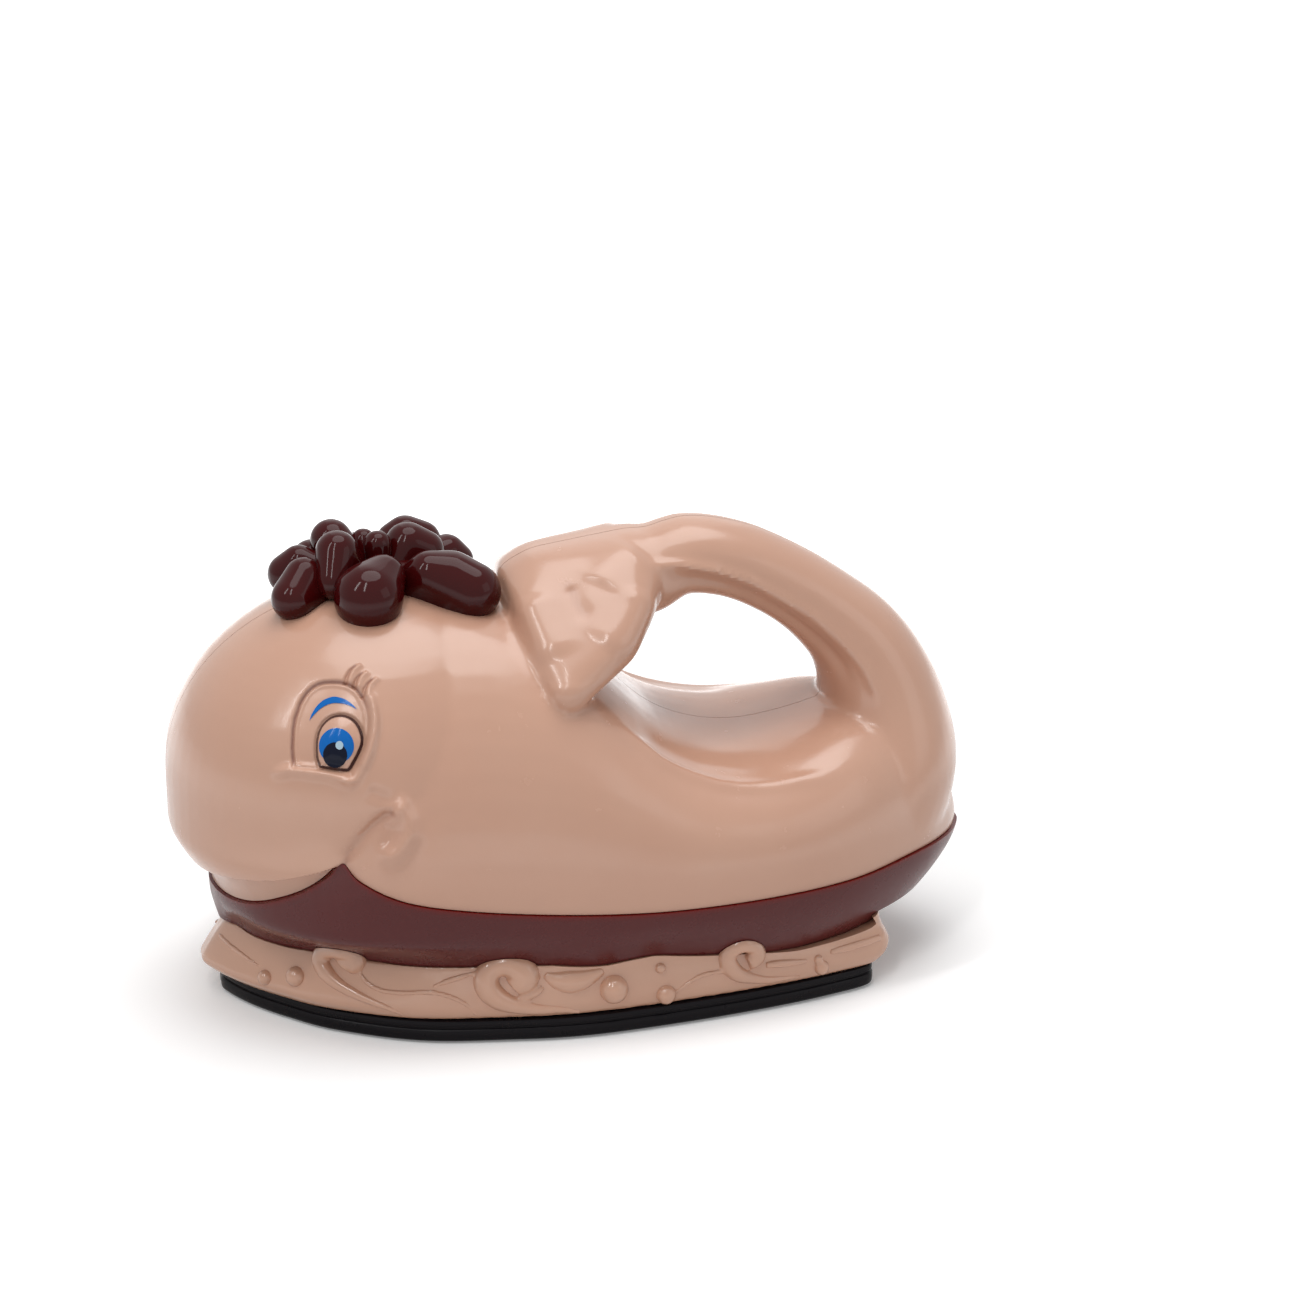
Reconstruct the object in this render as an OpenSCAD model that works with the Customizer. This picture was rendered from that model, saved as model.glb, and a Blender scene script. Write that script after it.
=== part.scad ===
// Toy iron in the shape of a whale. The tail arches forward as the handle and its
// flukes drape over the back. A tinted belly band and a wave base stand on a flat sole.
// The origin is under the middle of the sole, +X runs to the tail and +Z is up.

/* [Whale body] */
// Length from the forehead to the back of the tail
body_length = 184; // [160:1:210]
// Width across the flanks
body_width = 92; // [80:1:105]
// Height of the tail arch above the table
body_height = 106; // [98:1:118]
// Thickness of the moulded shells
shell_wall = 2.2; // [1.6:0.1:2.8]
// Gap between two moulded pieces where they meet
seam = 0.2; // [0.1:0.05:0.3]

/* [Head] */
// Length of the round head
head_length = 93; // [80:1:104]
// Width of the round head
head_width = 84; // [74:1:90]
// Height of the top of the head above the table
head_top = 94.5; // [88:0.5:100]
// Height of the underside of the face above the table
face_low = 26.5; // [24:0.5:30]
// Width of one eye socket
socket_width = 17; // [13:0.5:20]
// Height of one eye socket
socket_height = 22; // [17:0.5:25]
// Depth of the socket below the face
socket_depth = 1.1; // [0.6:0.1:1.6]
// Width of one eyeball
eyeball_width = 11.5; // [9:0.5:13]
// Height of one eyeball
eyeball_height = 13.5; // [10:0.5:15]
// Thickness of the printed eye
print_thick = 0.3; // [0.2:0.05:0.5]

/* [Tail handle] */
// Thickness of the tail where the fingers hold it
stem_thick = 18.6; // [15:0.2:21]
// Width of the tail where the fingers hold it
stem_width = 23; // [18:0.5:27]
// Thickness of a fluke
fluke_thick = 9.5; // [7.5:0.1:11]
// Reach of each fluke to the side
fluke_reach = 32; // [28:0.5:34]

/* [Belly band and base] */
// How far the band stands proud of the shells
band_proud = 0.6; // [0.3:0.1:1]
// Thickness of the band
band_wall = 2; // [1.5:0.1:2.6]
// Height of the wave base
base_height = 12.6; // [10:0.2:14]
// Thickness of the base wall and its deck
base_wall = 2; // [1.5:0.1:2.6]
// Radius of a wave curl on the base
curl_radius = 6; // [4:0.2:6.6]
// How far curls and bubbles stand out of the base
relief = 1.6; // [0.8:0.1:2]

/* [Soleplate] */
// Length of the sole
sole_length = 146; // [135:1:155]
// Width of the sole
sole_width = 87; // [80:1:92]
// Thickness of the sole at its edge
sole_thick = 5; // [4.4:0.1:6]
// Thickness of the sole's floor
sole_floor = 2.4; // [2.2:0.1:3]

/* [Spout tuft] */
// Radius of the plug that holds the tuft
plug_radius = 8; // [7:0.2:10]
// Size of one droplet of the tuft
drop_radius = 5; // [4:0.1:5.6]

/* [Battery and electrics] */
// Radius of an AA cell
cell_radius = 7.1; // [7:0.05:7.3]
// Length of an AA cell with its nub
cell_length = 50.2; // [49:0.1:50.6]
// Space for the contact at each end of a cell
contact_space = 3.6; // [3.2:0.1:5]
// Thickness of the battery door
door_thick = 2; // [1.6:0.1:2.1]
// Gap round the battery door
door_gap = 0.3; // [0.2:0.05:0.5]
// Radius of the speaker
speaker_radius = 16; // [14:0.5:17]
// Length of the circuit board
board_length = 40; // [34:1:46]
// Width of the circuit board
board_width = 26; // [22:1:30]
// Thickness of the circuit board
board_thick = 1.6; // [1:0.1:2]
// Travel of the power switch
switch_travel = 3.5; // [2:0.1:4]

/* [Fasteners] */
// Shank radius of the self-tapping screws
screw_radius = 1.3; // [1.1:0.05:1.5]
// Head radius of the self-tapping screws
screw_head_radius = 2.6; // [2.3:0.1:2.8]
// Length of a screw under its head
screw_length = 10; // [8:0.5:11]

/* [Hidden] */

// Overrun of every cut past the face it opens
cut = 1;
// Clearance between a screw and its bores
screw_clear = 0.2;
shank_bore = screw_radius + screw_clear;
head_bore = screw_head_radius + screw_clear;
// Sides of a body ring, a tail ring and a round blend
ring_sides = 28;
stem_sides = 18;
blend_sides = 16;
// Sides of a bore or boss, a wide ring, a cell, a grille hole, a droplet, a bubble and a curl
round_sides = 48;
wide_sides = 96;
cell_sides = 64;
grille_sides = 32;
drop_sides = 14;
bubble_sides = 10;
curl_sides = 8;
// Height of the seam line between the base and the band
deck_level = sole_thick + base_height;
head_x = (head_length - body_length) / 2;
// The back is as high as the head asks, and the tail is as high as the body asks
back_height = head_top * 1.1217;
sole_front = -0.4450 * body_length;
head_level = face_low + 0.40 * (head_top - face_low);
cheek_level = face_low + 0.24 * (head_top - face_low);
boss_wall = 2.3;
boss_radius = screw_radius + boss_wall;
screw_head_high = 1.8;

// Place on a smooth curve that runs through the rows of a table, where t counts rows
function station(rows, t) =
    let (
        last = len(rows) - 1,
        i = min(floor(t), last - 1),
        f = t - i,
        a = rows[max(i - 1, 0)],
        b = rows[i],
        c = rows[i + 1],
        d = rows[min(i + 2, last)]
    )
    b + f * (c - a) / 2 + f * f * (2 * a - 5 * b + 4 * c - d) / 2
        + f * f * f * (3 * b - 3 * c + d - a) / 2;

// The rows of a table with extra ones between them
function dense(rows, parts) = [for (k = [0 : (len(rows) - 1) * parts]) station(rows, k / parts)];

// Skin of one stretch of a chain of rings
module stretch(low_ring, high_ring) {
    sides = len(low_ring);
    hull()
        polyhedron(
            points = concat(low_ring, high_ring),
            faces = [[for (k = [0 : sides - 1]) k], [for (k = [0 : sides - 1]) sides + k]]
        );
}

module chain(rings) {
    for (k = [0 : len(rings) - 2])
        stretch(rings[k], rings[k + 1]);
}

// Closed skin laid over rings that all have the same number of points
module loft(rings, sides) {
    last = (len(rings) - 1) * sides;
    polyhedron(
        points = [for (ring = rings, p = ring) p],
        faces = concat(
            [[for (j = [0 : sides - 1]) j]],
            [[for (j = [sides - 1 : -1 : 0]) last + j]],
            [for (k = [0 : len(rings) - 2], j = [0 : sides - 1])
                let (a = k * sides + j, b = k * sides + (j + 1) % sides)
                [a, a + sides, b + sides]],
            [for (k = [0 : len(rings) - 2], j = [0 : sides - 1])
                let (a = k * sides + j, b = k * sides + (j + 1) % sides)
                [a, b + sides, b]]
        ),
        convexity = 8
    );
}

// Torso sections from the chin to the tail root. Each row holds the place along the body,
// the half width, the heights of the top, the widest level and the underside, and how
// square the shoulders are, where 1 is a plain ellipse
torso_shares = [
    [-0.4510, 0.034, 0.275, 0.255, 0.235, 1.00],
    [-0.4455, 0.170, 0.320, 0.260, 0.195, 1.00],
    [-0.4317, 0.345, 0.390, 0.264, 0.120, 1.00],
    [-0.4098, 0.520, 0.480, 0.274, 0.045, 1.00],
    [-0.3770, 0.680, 0.585, 0.285, 0.000, 1.00],
    [-0.3280, 0.850, 0.710, 0.310, -0.020, 1.00],
    [-0.2680, 0.960, 0.815, 0.340, -0.028, 1.02],
    [-0.1900, 0.995, 0.868, 0.330, -0.028, 1.06],
    [-0.1000, 1.000, 0.848, 0.310, -0.028, 1.10],
    [-0.0200, 1.000, 0.770, 0.296, -0.028, 1.16],
    [0.0440, 0.996, 0.662, 0.288, -0.028, 1.26],
    [0.0950, 0.983, 0.582, 0.283, -0.028, 1.40],
    [0.1500, 0.957, 0.540, 0.283, -0.028, 1.50],
    [0.2080, 0.913, 0.528, 0.283, -0.026, 1.50],
    [0.2680, 0.848, 0.543, 0.283, -0.010, 1.44],
    [0.3220, 0.761, 0.566, 0.283, 0.015, 1.34],
    [0.3770, 0.630, 0.566, 0.283, 0.065, 1.22],
    [0.4260, 0.478, 0.519, 0.283, 0.135, 1.12],
    [0.4620, 0.304, 0.434, 0.278, 0.196, 1.05],
    [0.4820, 0.163, 0.358, 0.274, 0.232, 1.00],
    [0.4935, 0.040, 0.290, 0.269, 0.250, 1.00]
];

// Tail sections from the fluke to the root. Each row holds the place along the body, the
// height, and the half thickness and half width as shares of the tail's own sizes
stem_shares = [
    [0.0820, 0.862, 0.92, 1.04],
    [0.1310, 0.908, 0.96, 0.98],
    [0.1970, 0.893, 0.94, 0.96],
    [0.2620, 0.839, 0.94, 1.00],
    [0.3170, 0.769, 1.02, 1.09],
    [0.3620, 0.685, 1.22, 1.26],
    [0.3890, 0.575, 1.52, 1.57],
    [0.3930, 0.443, 1.92, 2.10],
    [0.3650, 0.330, 2.20, 2.36]
];

// Side view of the line where the shells meet the band, from the chin to the tail
parting_shares = [
    [-0.520, 0.250],
    [-0.460, 0.254],
    [-0.418, 0.280],
    [-0.365, 0.338],
    [-0.330, 0.392],
    [-0.314, 0.424],
    [-0.296, 0.388],
    [-0.243, 0.344],
    [-0.167, 0.316],
    [-0.063, 0.292],
    [0.046, 0.278],
    [0.172, 0.274],
    [0.309, 0.274],
    [0.424, 0.280],
    [0.520, 0.252]
];

// Half plan of the sole and base: the place from the tip to the rear, and the half width
plan_shares = [
    [0.000, 0.000],
    [0.003, 0.080],
    [0.036, 0.270],
    [0.088, 0.471],
    [0.155, 0.670],
    [0.274, 0.880],
    [0.407, 0.966],
    [0.532, 1.000],
    [0.700, 0.945],
    [0.844, 0.860],
    [0.940, 0.775],
    [0.988, 0.715],
    [1.000, 0.650]
];
plan_rows = dense(plan_shares, 2);

function squared(value, square) = sign(value) * pow(abs(value), 1 / square);

function body_ring(x, half_w, top, mid, low, square) = [
    for (k = [0 : ring_sides - 1])
        let (c = cos(360 * (k + 0.5) / ring_sides), s = sin(360 * (k + 0.5) / ring_sides))
        s > 0 ? [x, half_w * squared(c, square), mid + (top - mid) * squared(s, square)]
            : [x, half_w * c, mid + (mid - low) * s]
];

function torso_ring(row, inset) =
    let (squeeze = 1 - 2 * inset / body_length)
    body_ring(
        row[0] * body_length * squeeze,
        max(row[1] * body_width / 2 - inset, body_width * 0.005),
        max(row[2] * back_height - inset, row[3] * body_height + body_height * 0.005),
        row[3] * body_height,
        min(row[4] * body_height + inset, row[3] * body_height - body_height * 0.005),
        row[5]
    );

module torso(inset) {
    chain([for (row = dense(torso_shares, 1)) torso_ring(row, inset)]);
}

// The head is a tall round and a flatter one for the cheeks, blended together
module head_round(level, half_l, half_w, half_h) {
    translate([head_x, 0, level])
        scale([half_l, half_w, half_h])
            rotate([0, 0, 180 / ring_sides])
                sphere(1, $fn = ring_sides);
}

module head(inset) {
    half_l = head_length / 2 - inset;
    half_w = head_width / 2 - inset;
    hull() {
        head_round(head_level, half_l, half_w, head_top - head_level - inset);
        head_round(cheek_level, half_l, half_w, cheek_level - face_low - inset);
    }
}

stem_rows = dense(stem_shares, 2);

function stem_ring(k, inset) =
    let (
        last = len(stem_rows) - 1,
        row = stem_rows[k],
        before = stem_rows[max(k - 1, 0)],
        after = stem_rows[min(k + 1, last)],
        run = (after[0] - before[0]) * body_length,
        rise = (after[1] - before[1]) * body_height,
        span = norm([run, rise]),
        half_t = row[2] * stem_thick / 2 - inset,
        half_w = row[3] * stem_width / 2 - inset
    )
    [
        for (j = [0 : stem_sides - 1])
            let (c = cos(360 * (j + 0.5) / stem_sides), s = sin(360 * (j + 0.5) / stem_sides))
            [
                row[0] * body_length - rise / span * half_t * s,
                half_w * c,
                row[1] * body_height + run / span * half_t * s
            ]
    ];

module stem(inset) {
    loft([for (k = [0 : len(stem_rows) - 1]) stem_ring(k, inset)], stem_sides);
}

// Blobs of one fluke: the place along the body, the reach, the height and the radius
fluke_shares = [
    [0.090, 0.06, 0.885, 1.70],
    [0.015, 0.14, 0.900, 1.10],
    [-0.063, 0.22, 0.872, 0.85],
    [0.066, 0.40, 0.856, 1.05],
    [-0.058, 0.50, 0.832, 0.85],
    [0.044, 0.58, 0.804, 0.95],
    [-0.046, 0.74, 0.768, 0.80],
    [0.000, 0.80, 0.742, 0.76],
    [-0.030, 0.93, 0.702, 0.66]
];
fluke_hulls = [[0, 1, 2, 3], [2, 3, 4], [3, 4, 5], [4, 5, 6], [5, 6, 7], [6, 7, 8]];
fluke_front = fluke_shares[2][0] * body_length - fluke_shares[2][3] * fluke_thick / 2;

// The fluke leaves the tail at the body's height and lies down on the back
function fluke_high(k) = fluke_shares[k][2] * (k < 2 ? body_height : back_height);

module fluke(side, inset) {
    for (group = fluke_hulls)
        hull()
            for (k = group)
                let (row = fluke_shares[k])
                    translate([row[0] * body_length, side * row[1] * fluke_reach, fluke_high(k)])
                        sphere(row[3] * fluke_thick / 2 - inset, $fn = blend_sides);
}

module whale(inset) {
    head(inset);
    torso(inset);
    stem(inset);
    for (side = [-1, 1])
        fluke(side, inset);
}

// Everything above or below the line where the shells meet the band
module above_parting(lift) {
    rotate([90, 0, 0])
        linear_extrude(body_width + 2 * cut, center = true)
            polygon(concat(
                [for (row = dense(parting_shares, 2)) [row[0] * body_length, row[1] * body_height + lift]],
                [[body_length, body_height * 2], [-body_length, body_height * 2]]
            ));
}

module side_space(side) {
    translate([-body_length, side > 0 ? seam / 2 : -body_width - seam / 2, -body_height])
        cube([2 * body_length, body_width, 3 * body_height]);
}

// Eye frame: the middle of the socket on the head, looking out of the face
eye_turn = 252;
eye_tilt = 58;
eye_drop = socket_height * 0.2;
eye_bulge = eyeball_width * 0.42;

module at_eye(side) {
    mirror([0, side > 0 ? 1 : 0, 0])
        translate([
            head_x + head_length / 2 * sin(eye_tilt) * cos(eye_turn),
            head_width / 2 * sin(eye_tilt) * sin(eye_turn),
            head_level + (head_top - head_level) * cos(eye_tilt)
        ])
            rotate([0, eye_tilt, eye_turn])
                children();
}

module eyeball(grow) {
    translate([eye_drop, 0, eyeball_width * 0.1 - eye_bulge])
        scale([eyeball_height / 2 + grow, eyeball_width / 2 + grow, eye_bulge + grow])
            sphere(1, $fn = blend_sides);
}

module eye_relief(side) {
    difference() {
        children();
        at_eye(side)
            translate([0, 0, socket_height / 2 - socket_depth])
                scale([socket_height / 2, socket_width / 2, socket_height / 2])
                    sphere(1, $fn = blend_sides);
    }
    at_eye(side)
        eyeball(0);
}

module eye_print(side) {
    at_eye(side)
        intersection() {
            difference() {
                eyeball(print_thick + seam / 2);
                eyeball(seam / 2);
            }
            translate([eye_drop + eyeball_height * 0.13, eyeball_width * 0.08, 0])
                rotate([0, 0, 40])
                    cylinder(r = eyeball_width * 0.32, h = eyeball_width, $fn = ring_sides);
        }
}

function along_sole(share) = sole_front + share * sole_length;

// Screws that join the two shells: their places in the side view
shell_screw_shares = [[-0.393, 0.49], [-0.125, 0.60], [0.098, 0.42], [0.395, 0.43], [0.224, 0.862]];
// Screws that hold the shells, the band and the base together
post_shares = [[0.299, 0.70], [0.863, 0.635]];
// Screws that hold the sole to the base
foot_shares = [[0.183, 0.53], [0.958, 0.487]];

shell_screw_places = [for (p = shell_screw_shares) [p[0] * body_length, 0, p[1] * body_height]];
post_places = [for (p = post_shares, side = [-1, 1]) [along_sole(p[0]), side * p[1] * sole_width / 2]];
foot_places = [for (p = foot_shares, side = [-1, 1]) [along_sole(p[0]), side * p[1] * sole_width / 2]];
grip_length = screw_length * 0.28;

module shell_bosses(side) {
    for (p = shell_screw_places)
        translate(p)
            rotate([-side * 90, 0, 0])
                cylinder(r = boss_radius, h = body_width / 2, $fn = blend_sides);
    for (p = post_places)
        if (p[1] * side > 0)
            translate([p[0], p[1], deck_level + band_wall + 2 * seam])
                cylinder(r = boss_radius, h = back_height, $fn = blend_sides);
}

module shell_bores(side) {
    for (p = shell_screw_places)
        translate(p)
            rotate([-side * 90, 0, 0])
                if (side < 0)
                    translate([0, 0, -cut])
                        cylinder(r = shank_bore, h = screw_length, $fn = blend_sides);
                else {
                    translate([0, 0, -cut])
                        cylinder(r = shank_bore, h = body_width, $fn = blend_sides);
                    translate([0, 0, grip_length])
                        cylinder(r = head_bore, h = body_width, $fn = blend_sides);
                }
    for (p = post_places)
        translate([p[0], p[1], 0])
            cylinder(r = shank_bore, h = deck_level + screw_length, $fn = blend_sides);
}

plug_x = head_x + head_length * 0.03;
plug_top = head_top - shell_wall;
plug_lip = 2;
plug_flange = plug_radius + plug_lip;
plug_deep = 7;

module plug_hole() {
    translate([plug_x, 0, plug_top - plug_deep])
        cylinder(r = plug_radius + seam, h = plug_deep * 3, $fn = ring_sides);
}

module body_shell(side) {
    color("rosybrown")
        difference() {
            intersection() {
                eye_relief(side)
                    difference() {
                        whale(0);
                        difference() {
                            whale(shell_wall);
                            shell_bosses(side);
                        }
                    }
                above_parting(seam);
                side_space(side);
            }
            shell_bores(side);
            plug_hole();
        }
}

module left_body_shell() {
    body_shell(-1);
}

module right_body_shell() {
    body_shell(1);
}

module left_eye_print() {
    color("royalblue") eye_print(-1);
}

module right_eye_print() {
    color("royalblue") eye_print(1);
}

// Window through the deck and the band's flange for the battery well and the wiring
window_play = 9;
window_width = 4 * cell_radius + window_play;
window_front = along_sole(0.132);
window_rear = along_sole(0.970);

module window(high) {
    translate([window_front, -window_width / 2, 0])
        cube([window_rear - window_front, window_width, high]);
}

module post_holes(high) {
    for (p = post_places)
        translate([p[0], p[1], 0])
            cylinder(r = shank_bore, h = high, $fn = blend_sides);
}

module belly_band() {
    color([0.36, 0.14, 0.15])
        difference() {
            torso(-band_proud);
            above_parting(0);
            difference() {
                torso(band_wall - band_proud);
                translate([-body_length, -body_width, 0])
                    cube([2 * body_length, 2 * body_width, deck_level + seam + band_wall]);
            }
            translate([-body_length, -body_width, -body_height])
                cube([2 * body_length, 2 * body_width, body_height + deck_level + seam]);
            window(body_height);
            post_holes(body_height);
        }
}

// Levels of the base: the height, then how far the front, the rear and the sides stand
// out past the sole, as shares of the base's height
base_levels_shares = [
    [0.00, 0.10, 0.08, -0.08],
    [0.20, 0.34, 0.26, -0.02],
    [0.45, 0.24, 0.30, -0.03],
    [0.75, 0.04, 0.16, -0.08],
    [1.00, -0.16, 0.10, -0.10]
];

function plan_ring(front, rear, half_w, z) = concat(
    [for (row = plan_rows) [front + row[0] * (rear - front), -row[1] * half_w, z]],
    [for (k = [len(plan_rows) - 1 : -1 : 1]) [
        front + plan_rows[k][0] * (rear - front), plan_rows[k][1] * half_w, z
    ]]
);

function base_ring(row, inset) = plan_ring(
    sole_front - row[1] * base_height + inset,
    sole_front + sole_length + row[2] * base_height - inset,
    sole_width / 2 + row[3] * base_height - inset,
    sole_thick + seam + row[0] * (base_height - seam)
);

module base_form(inset) {
    chain([for (row = base_levels_shares) base_ring(row, inset)]);
}

// Reliefs on one side of the base: place along the sole, height and size as shares
curl_shares = [[0.185, 0.98, 0.95], [0.430, 0.80, 1.10], [0.775, 0.76, 0.85]];
bubble_shares = [[0.055, 0.50, 0.32], [0.105, 0.50, 0.36], [0.580, 0.36, 0.46], [0.650, 0.22, 0.32],
    [0.865, 0.40, 0.36], [0.632, 0.60, 0.28]];

// Half width of the base at a place along the sole, between two points of its plan
function plan_half(u) =
    let (
        i = max([for (k = [0 : len(plan_rows) - 2]) plan_rows[k][0] <= u ? k : 0]),
        a = plan_rows[i],
        b = plan_rows[i + 1],
        f = (u - a[0]) / (b[0] - a[0])
    )
    (a[1] + f * (b[1] - a[1])) * sole_width / 2;

angle_share = 0.02;
function plan_angle(u) = atan2(
    plan_half(u + angle_share) - plan_half(u - angle_share), 2 * angle_share * sole_length
);

module on_base(u, high, side) {
    translate([along_sole(u), side * (plan_half(u) - 0.06 * base_height), sole_thick + high * base_height])
        rotate([0, 0, side * plan_angle(u)])
            rotate([-side * 90, 0, 0])
                children();
}

curl_steps = 9;
module curl(size) {
    for (k = [0 : curl_steps - 1])
        hull()
            for (j = [k, k + 1])
                let (turn = 200 - 48 * j, away = size * curl_radius * (0.74 - 0.55 * j / curl_steps))
                    translate([away * cos(turn), away * sin(turn), 0])
                        sphere(relief * (0.8 + 0.35 * j / curl_steps), $fn = curl_sides);
}

module reliefs(side) {
    for (c = curl_shares)
        on_base(c[0], c[1], side)
            mirror([0, side > 0 ? 0 : 1, 0])
                curl(c[2]);
    for (b = bubble_shares)
        on_base(b[0], b[1], side)
            sphere(b[2] * relief * 2.4, $fn = bubble_sides);
}

module wave_base() {
    color("rosybrown")
        difference() {
            union() {
                difference() {
                    base_form(0);
                    difference() {
                        base_form(base_wall);
                        translate([-body_length, -body_width, deck_level - base_wall])
                            cube([2 * body_length, 2 * body_width, body_height]);
                        for (p = foot_places)
                            translate([p[0], p[1], sole_thick])
                                cylinder(r = boss_radius, h = base_height, $fn = blend_sides);
                    }
                }
                difference() {
                    for (side = [-1, 1])
                        reliefs(side);
                    base_form(base_wall / 2);
                    intersection() {
                        torso(-band_proud - seam);
                        translate([-body_length, -body_width, deck_level])
                            cube([2 * body_length, 2 * body_width, body_height]);
                    }
                }
            }
            window(body_height);
            post_holes(body_height);
            for (p = foot_places)
                translate([p[0], p[1], 0])
                    cylinder(r = shank_bore, h = screw_length + sole_floor, $fn = blend_sides);
        }
}

// Battery well in the sole
well_x = along_sole(0.7335);
well_long = cell_length + 2 * contact_space;
well_play = 2;
well_wide = 4 * cell_radius + well_play;
well_high = 2 * cell_radius + well_play / 2;
well_wall = 1.6;
screw_well = screw_head_radius + well_wall;
door_level = 0.3;
ledge_level = door_level + door_thick + seam / 2;
door_ledge = 1.6;
door_tab = 2 * (boss_radius + door_ledge);
door_front = well_x - well_long / 2 - door_ledge - door_tab;
door_rear = well_x + well_long / 2 + door_ledge;
door_wide = well_wide + 2 * door_ledge;
door_screw_x = door_front + door_tab / 2;
well_roof = ledge_level + well_high + well_wall;
cell_level = ledge_level + cell_radius + well_play * 0.15;
cell_y = cell_radius + well_play / 4;

// Speaker and switch places in the sole
speaker_x = along_sole(0.246);
speaker_level = sole_floor + seam / 2;
speaker_flange = 1.2;
clamp_y = speaker_radius + 2.6 * screw_radius;
grille_hole = 1.2;
grille_pitch = 4.2;
switch_x = along_sole(0.416);
switch_wide = 6;
switch_long = 13;
switch_high = 5;
knob_wide = 4;
knob_long = 4.4;
knob_level = 0.5;
knob_clear = 0.25;
knob_stem = 1.8;
dish_deep = 1.2;
dish_long = knob_long + switch_travel + 2 * knob_clear;
knob_slot_long = knob_stem + switch_travel + 2 * knob_clear;
knob_slot_x = switch_x - knob_stem / 2 - knob_clear;

// Layers of the sole's edge: the height shares and how far each is set in
edge_shares = [[0.00, 0.20, 0.24], [0.20, 0.60, 0.00], [0.60, 0.72, 0.20], [0.72, 1.00, 0.06]];

function plan_outline(inset) = [
    for (p = plan_ring(sole_front + inset, sole_front + sole_length - inset, sole_width / 2 - inset, 0))
        [p[0], p[1]]
];

module sole_layer(low, high, inset) {
    translate([0, 0, low])
        linear_extrude(high - low)
            polygon(plan_outline(inset));
}

module soleplate() {
    color([0.12, 0.11, 0.14])
        difference() {
            union() {
                difference() {
                    for (e = edge_shares)
                        sole_layer(e[0] * sole_thick, e[1] * sole_thick, e[2] * sole_thick);
                    translate([0, 0, sole_floor])
                        sole_layer(0, sole_thick, sole_thick * 0.7);
                }
                translate([door_front - well_wall, -door_wide / 2 - well_wall, ledge_level])
                    cube([door_rear - door_front + 2 * well_wall, door_wide + 2 * well_wall, well_wall]);
                translate([well_x - well_long / 2 - well_wall, -well_wide / 2 - well_wall, ledge_level])
                    cube([well_long + 2 * well_wall, well_wide + 2 * well_wall, well_high + well_wall]);
                translate([door_screw_x, 0, ledge_level])
                    cylinder(r = boss_radius, h = screw_length, $fn = round_sides);
                translate([speaker_x, 0, sole_floor - seam])
                    difference() {
                        cylinder(r = speaker_radius + seam + well_wall, h = speaker_flange + seam, $fn = wide_sides);
                        translate([0, 0, -cut])
                            cylinder(r = speaker_radius + seam, h = sole_thick + 2 * cut, $fn = wide_sides);
                    }
                for (side = [-1, 1])
                    translate([speaker_x, side * clamp_y, sole_floor - seam])
                        cylinder(r = boss_radius * 0.7, h = speaker_flange + seam, $fn = round_sides);
                for (p = board_places)
                    translate([p[0], p[1], well_roof - seam])
                        cylinder(r = boss_radius * 0.8, h = board_rise + seam, $fn = round_sides);
                for (p = foot_places)
                    translate([p[0], p[1], sole_floor - seam])
                        cylinder(r = screw_well, h = sole_thick - sole_floor + seam, $fn = round_sides);
            }
            for (side = [-1, 1])
                translate([
                    well_x - well_long / 2 - well_wall - cut,
                    side * cell_y - tab_wide / 2 - seam,
                    cell_level - seam
                ])
                    cube([well_wall + 2 * cut, tab_wide + 2 * seam, plate_thick + 2 * seam]);
            translate([door_front - door_gap, -door_wide / 2 - door_gap, -cut])
                cube([door_rear - door_front + 2 * door_gap, door_wide + 2 * door_gap, ledge_level + cut]);
            translate([well_x - well_long / 2, -well_wide / 2, -cut])
                cube([well_long, well_wide, ledge_level + well_high + cut]);
            translate([door_screw_x, 0, -cut])
                cylinder(r = shank_bore, h = ledge_level + screw_length + 2 * cut, $fn = round_sides);
            for (p = foot_places)
                translate([p[0], p[1], -cut]) {
                    cylinder(r = shank_bore, h = sole_thick + cut, $fn = round_sides);
                    cylinder(r = head_bore, h = foot_head_level + screw_head_high + cut, $fn = round_sides);
                }
            for (side = [-1, 1])
                translate([speaker_x, side * clamp_y, 0])
                    translate([0, 0, cut])
                        cylinder(r = shank_bore, h = sole_thick, $fn = round_sides);
            for (p = board_places)
                translate([p[0], p[1], well_roof - cut / 2])
                    cylinder(r = shank_bore, h = board_rise + cut, $fn = round_sides);
            translate([speaker_x, 0, -cut])
                for (ring = [0 : 2], k = [0 : max(6 * ring - 1, 0)])
                    rotate([0, 0, ring > 0 ? 60 * k / ring : 0])
                        translate([ring * grille_pitch, 0, 0])
                            cylinder(r = grille_hole, h = sole_thick, $fn = grille_sides);
            translate([switch_x - knob_wide / 2 - knob_clear, -dish_long / 2, -cut])
                cube([knob_wide + 2 * knob_clear, dish_long, dish_deep + knob_level + cut]);
            translate([knob_slot_x, -knob_slot_long / 2, -cut])
                cube([knob_stem + 2 * knob_clear, knob_slot_long, sole_thick]);
        }
}

foot_head_level = 0.5;

module battery_door() {
    color([0.14, 0.13, 0.16])
        difference() {
            translate([door_front, -door_wide / 2, door_level])
                cube([door_rear - door_front, door_wide, door_thick]);
            translate([door_screw_x, 0, -cut])
                cylinder(r = shank_bore, h = ledge_level + 2 * cut, $fn = round_sides);
            translate([door_screw_x, 0, -cut])
                cylinder(r = head_bore, h = door_level + door_thick / 2 + cut, $fn = round_sides);
            for (k = [-2 : 2])
                translate([door_rear - door_ledge * 5 + k * door_ledge, -door_wide / 4, -cut])
                    cube([door_ledge / 2, door_wide / 2, cut + door_level + door_thick * 0.2]);
        }
}

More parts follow.
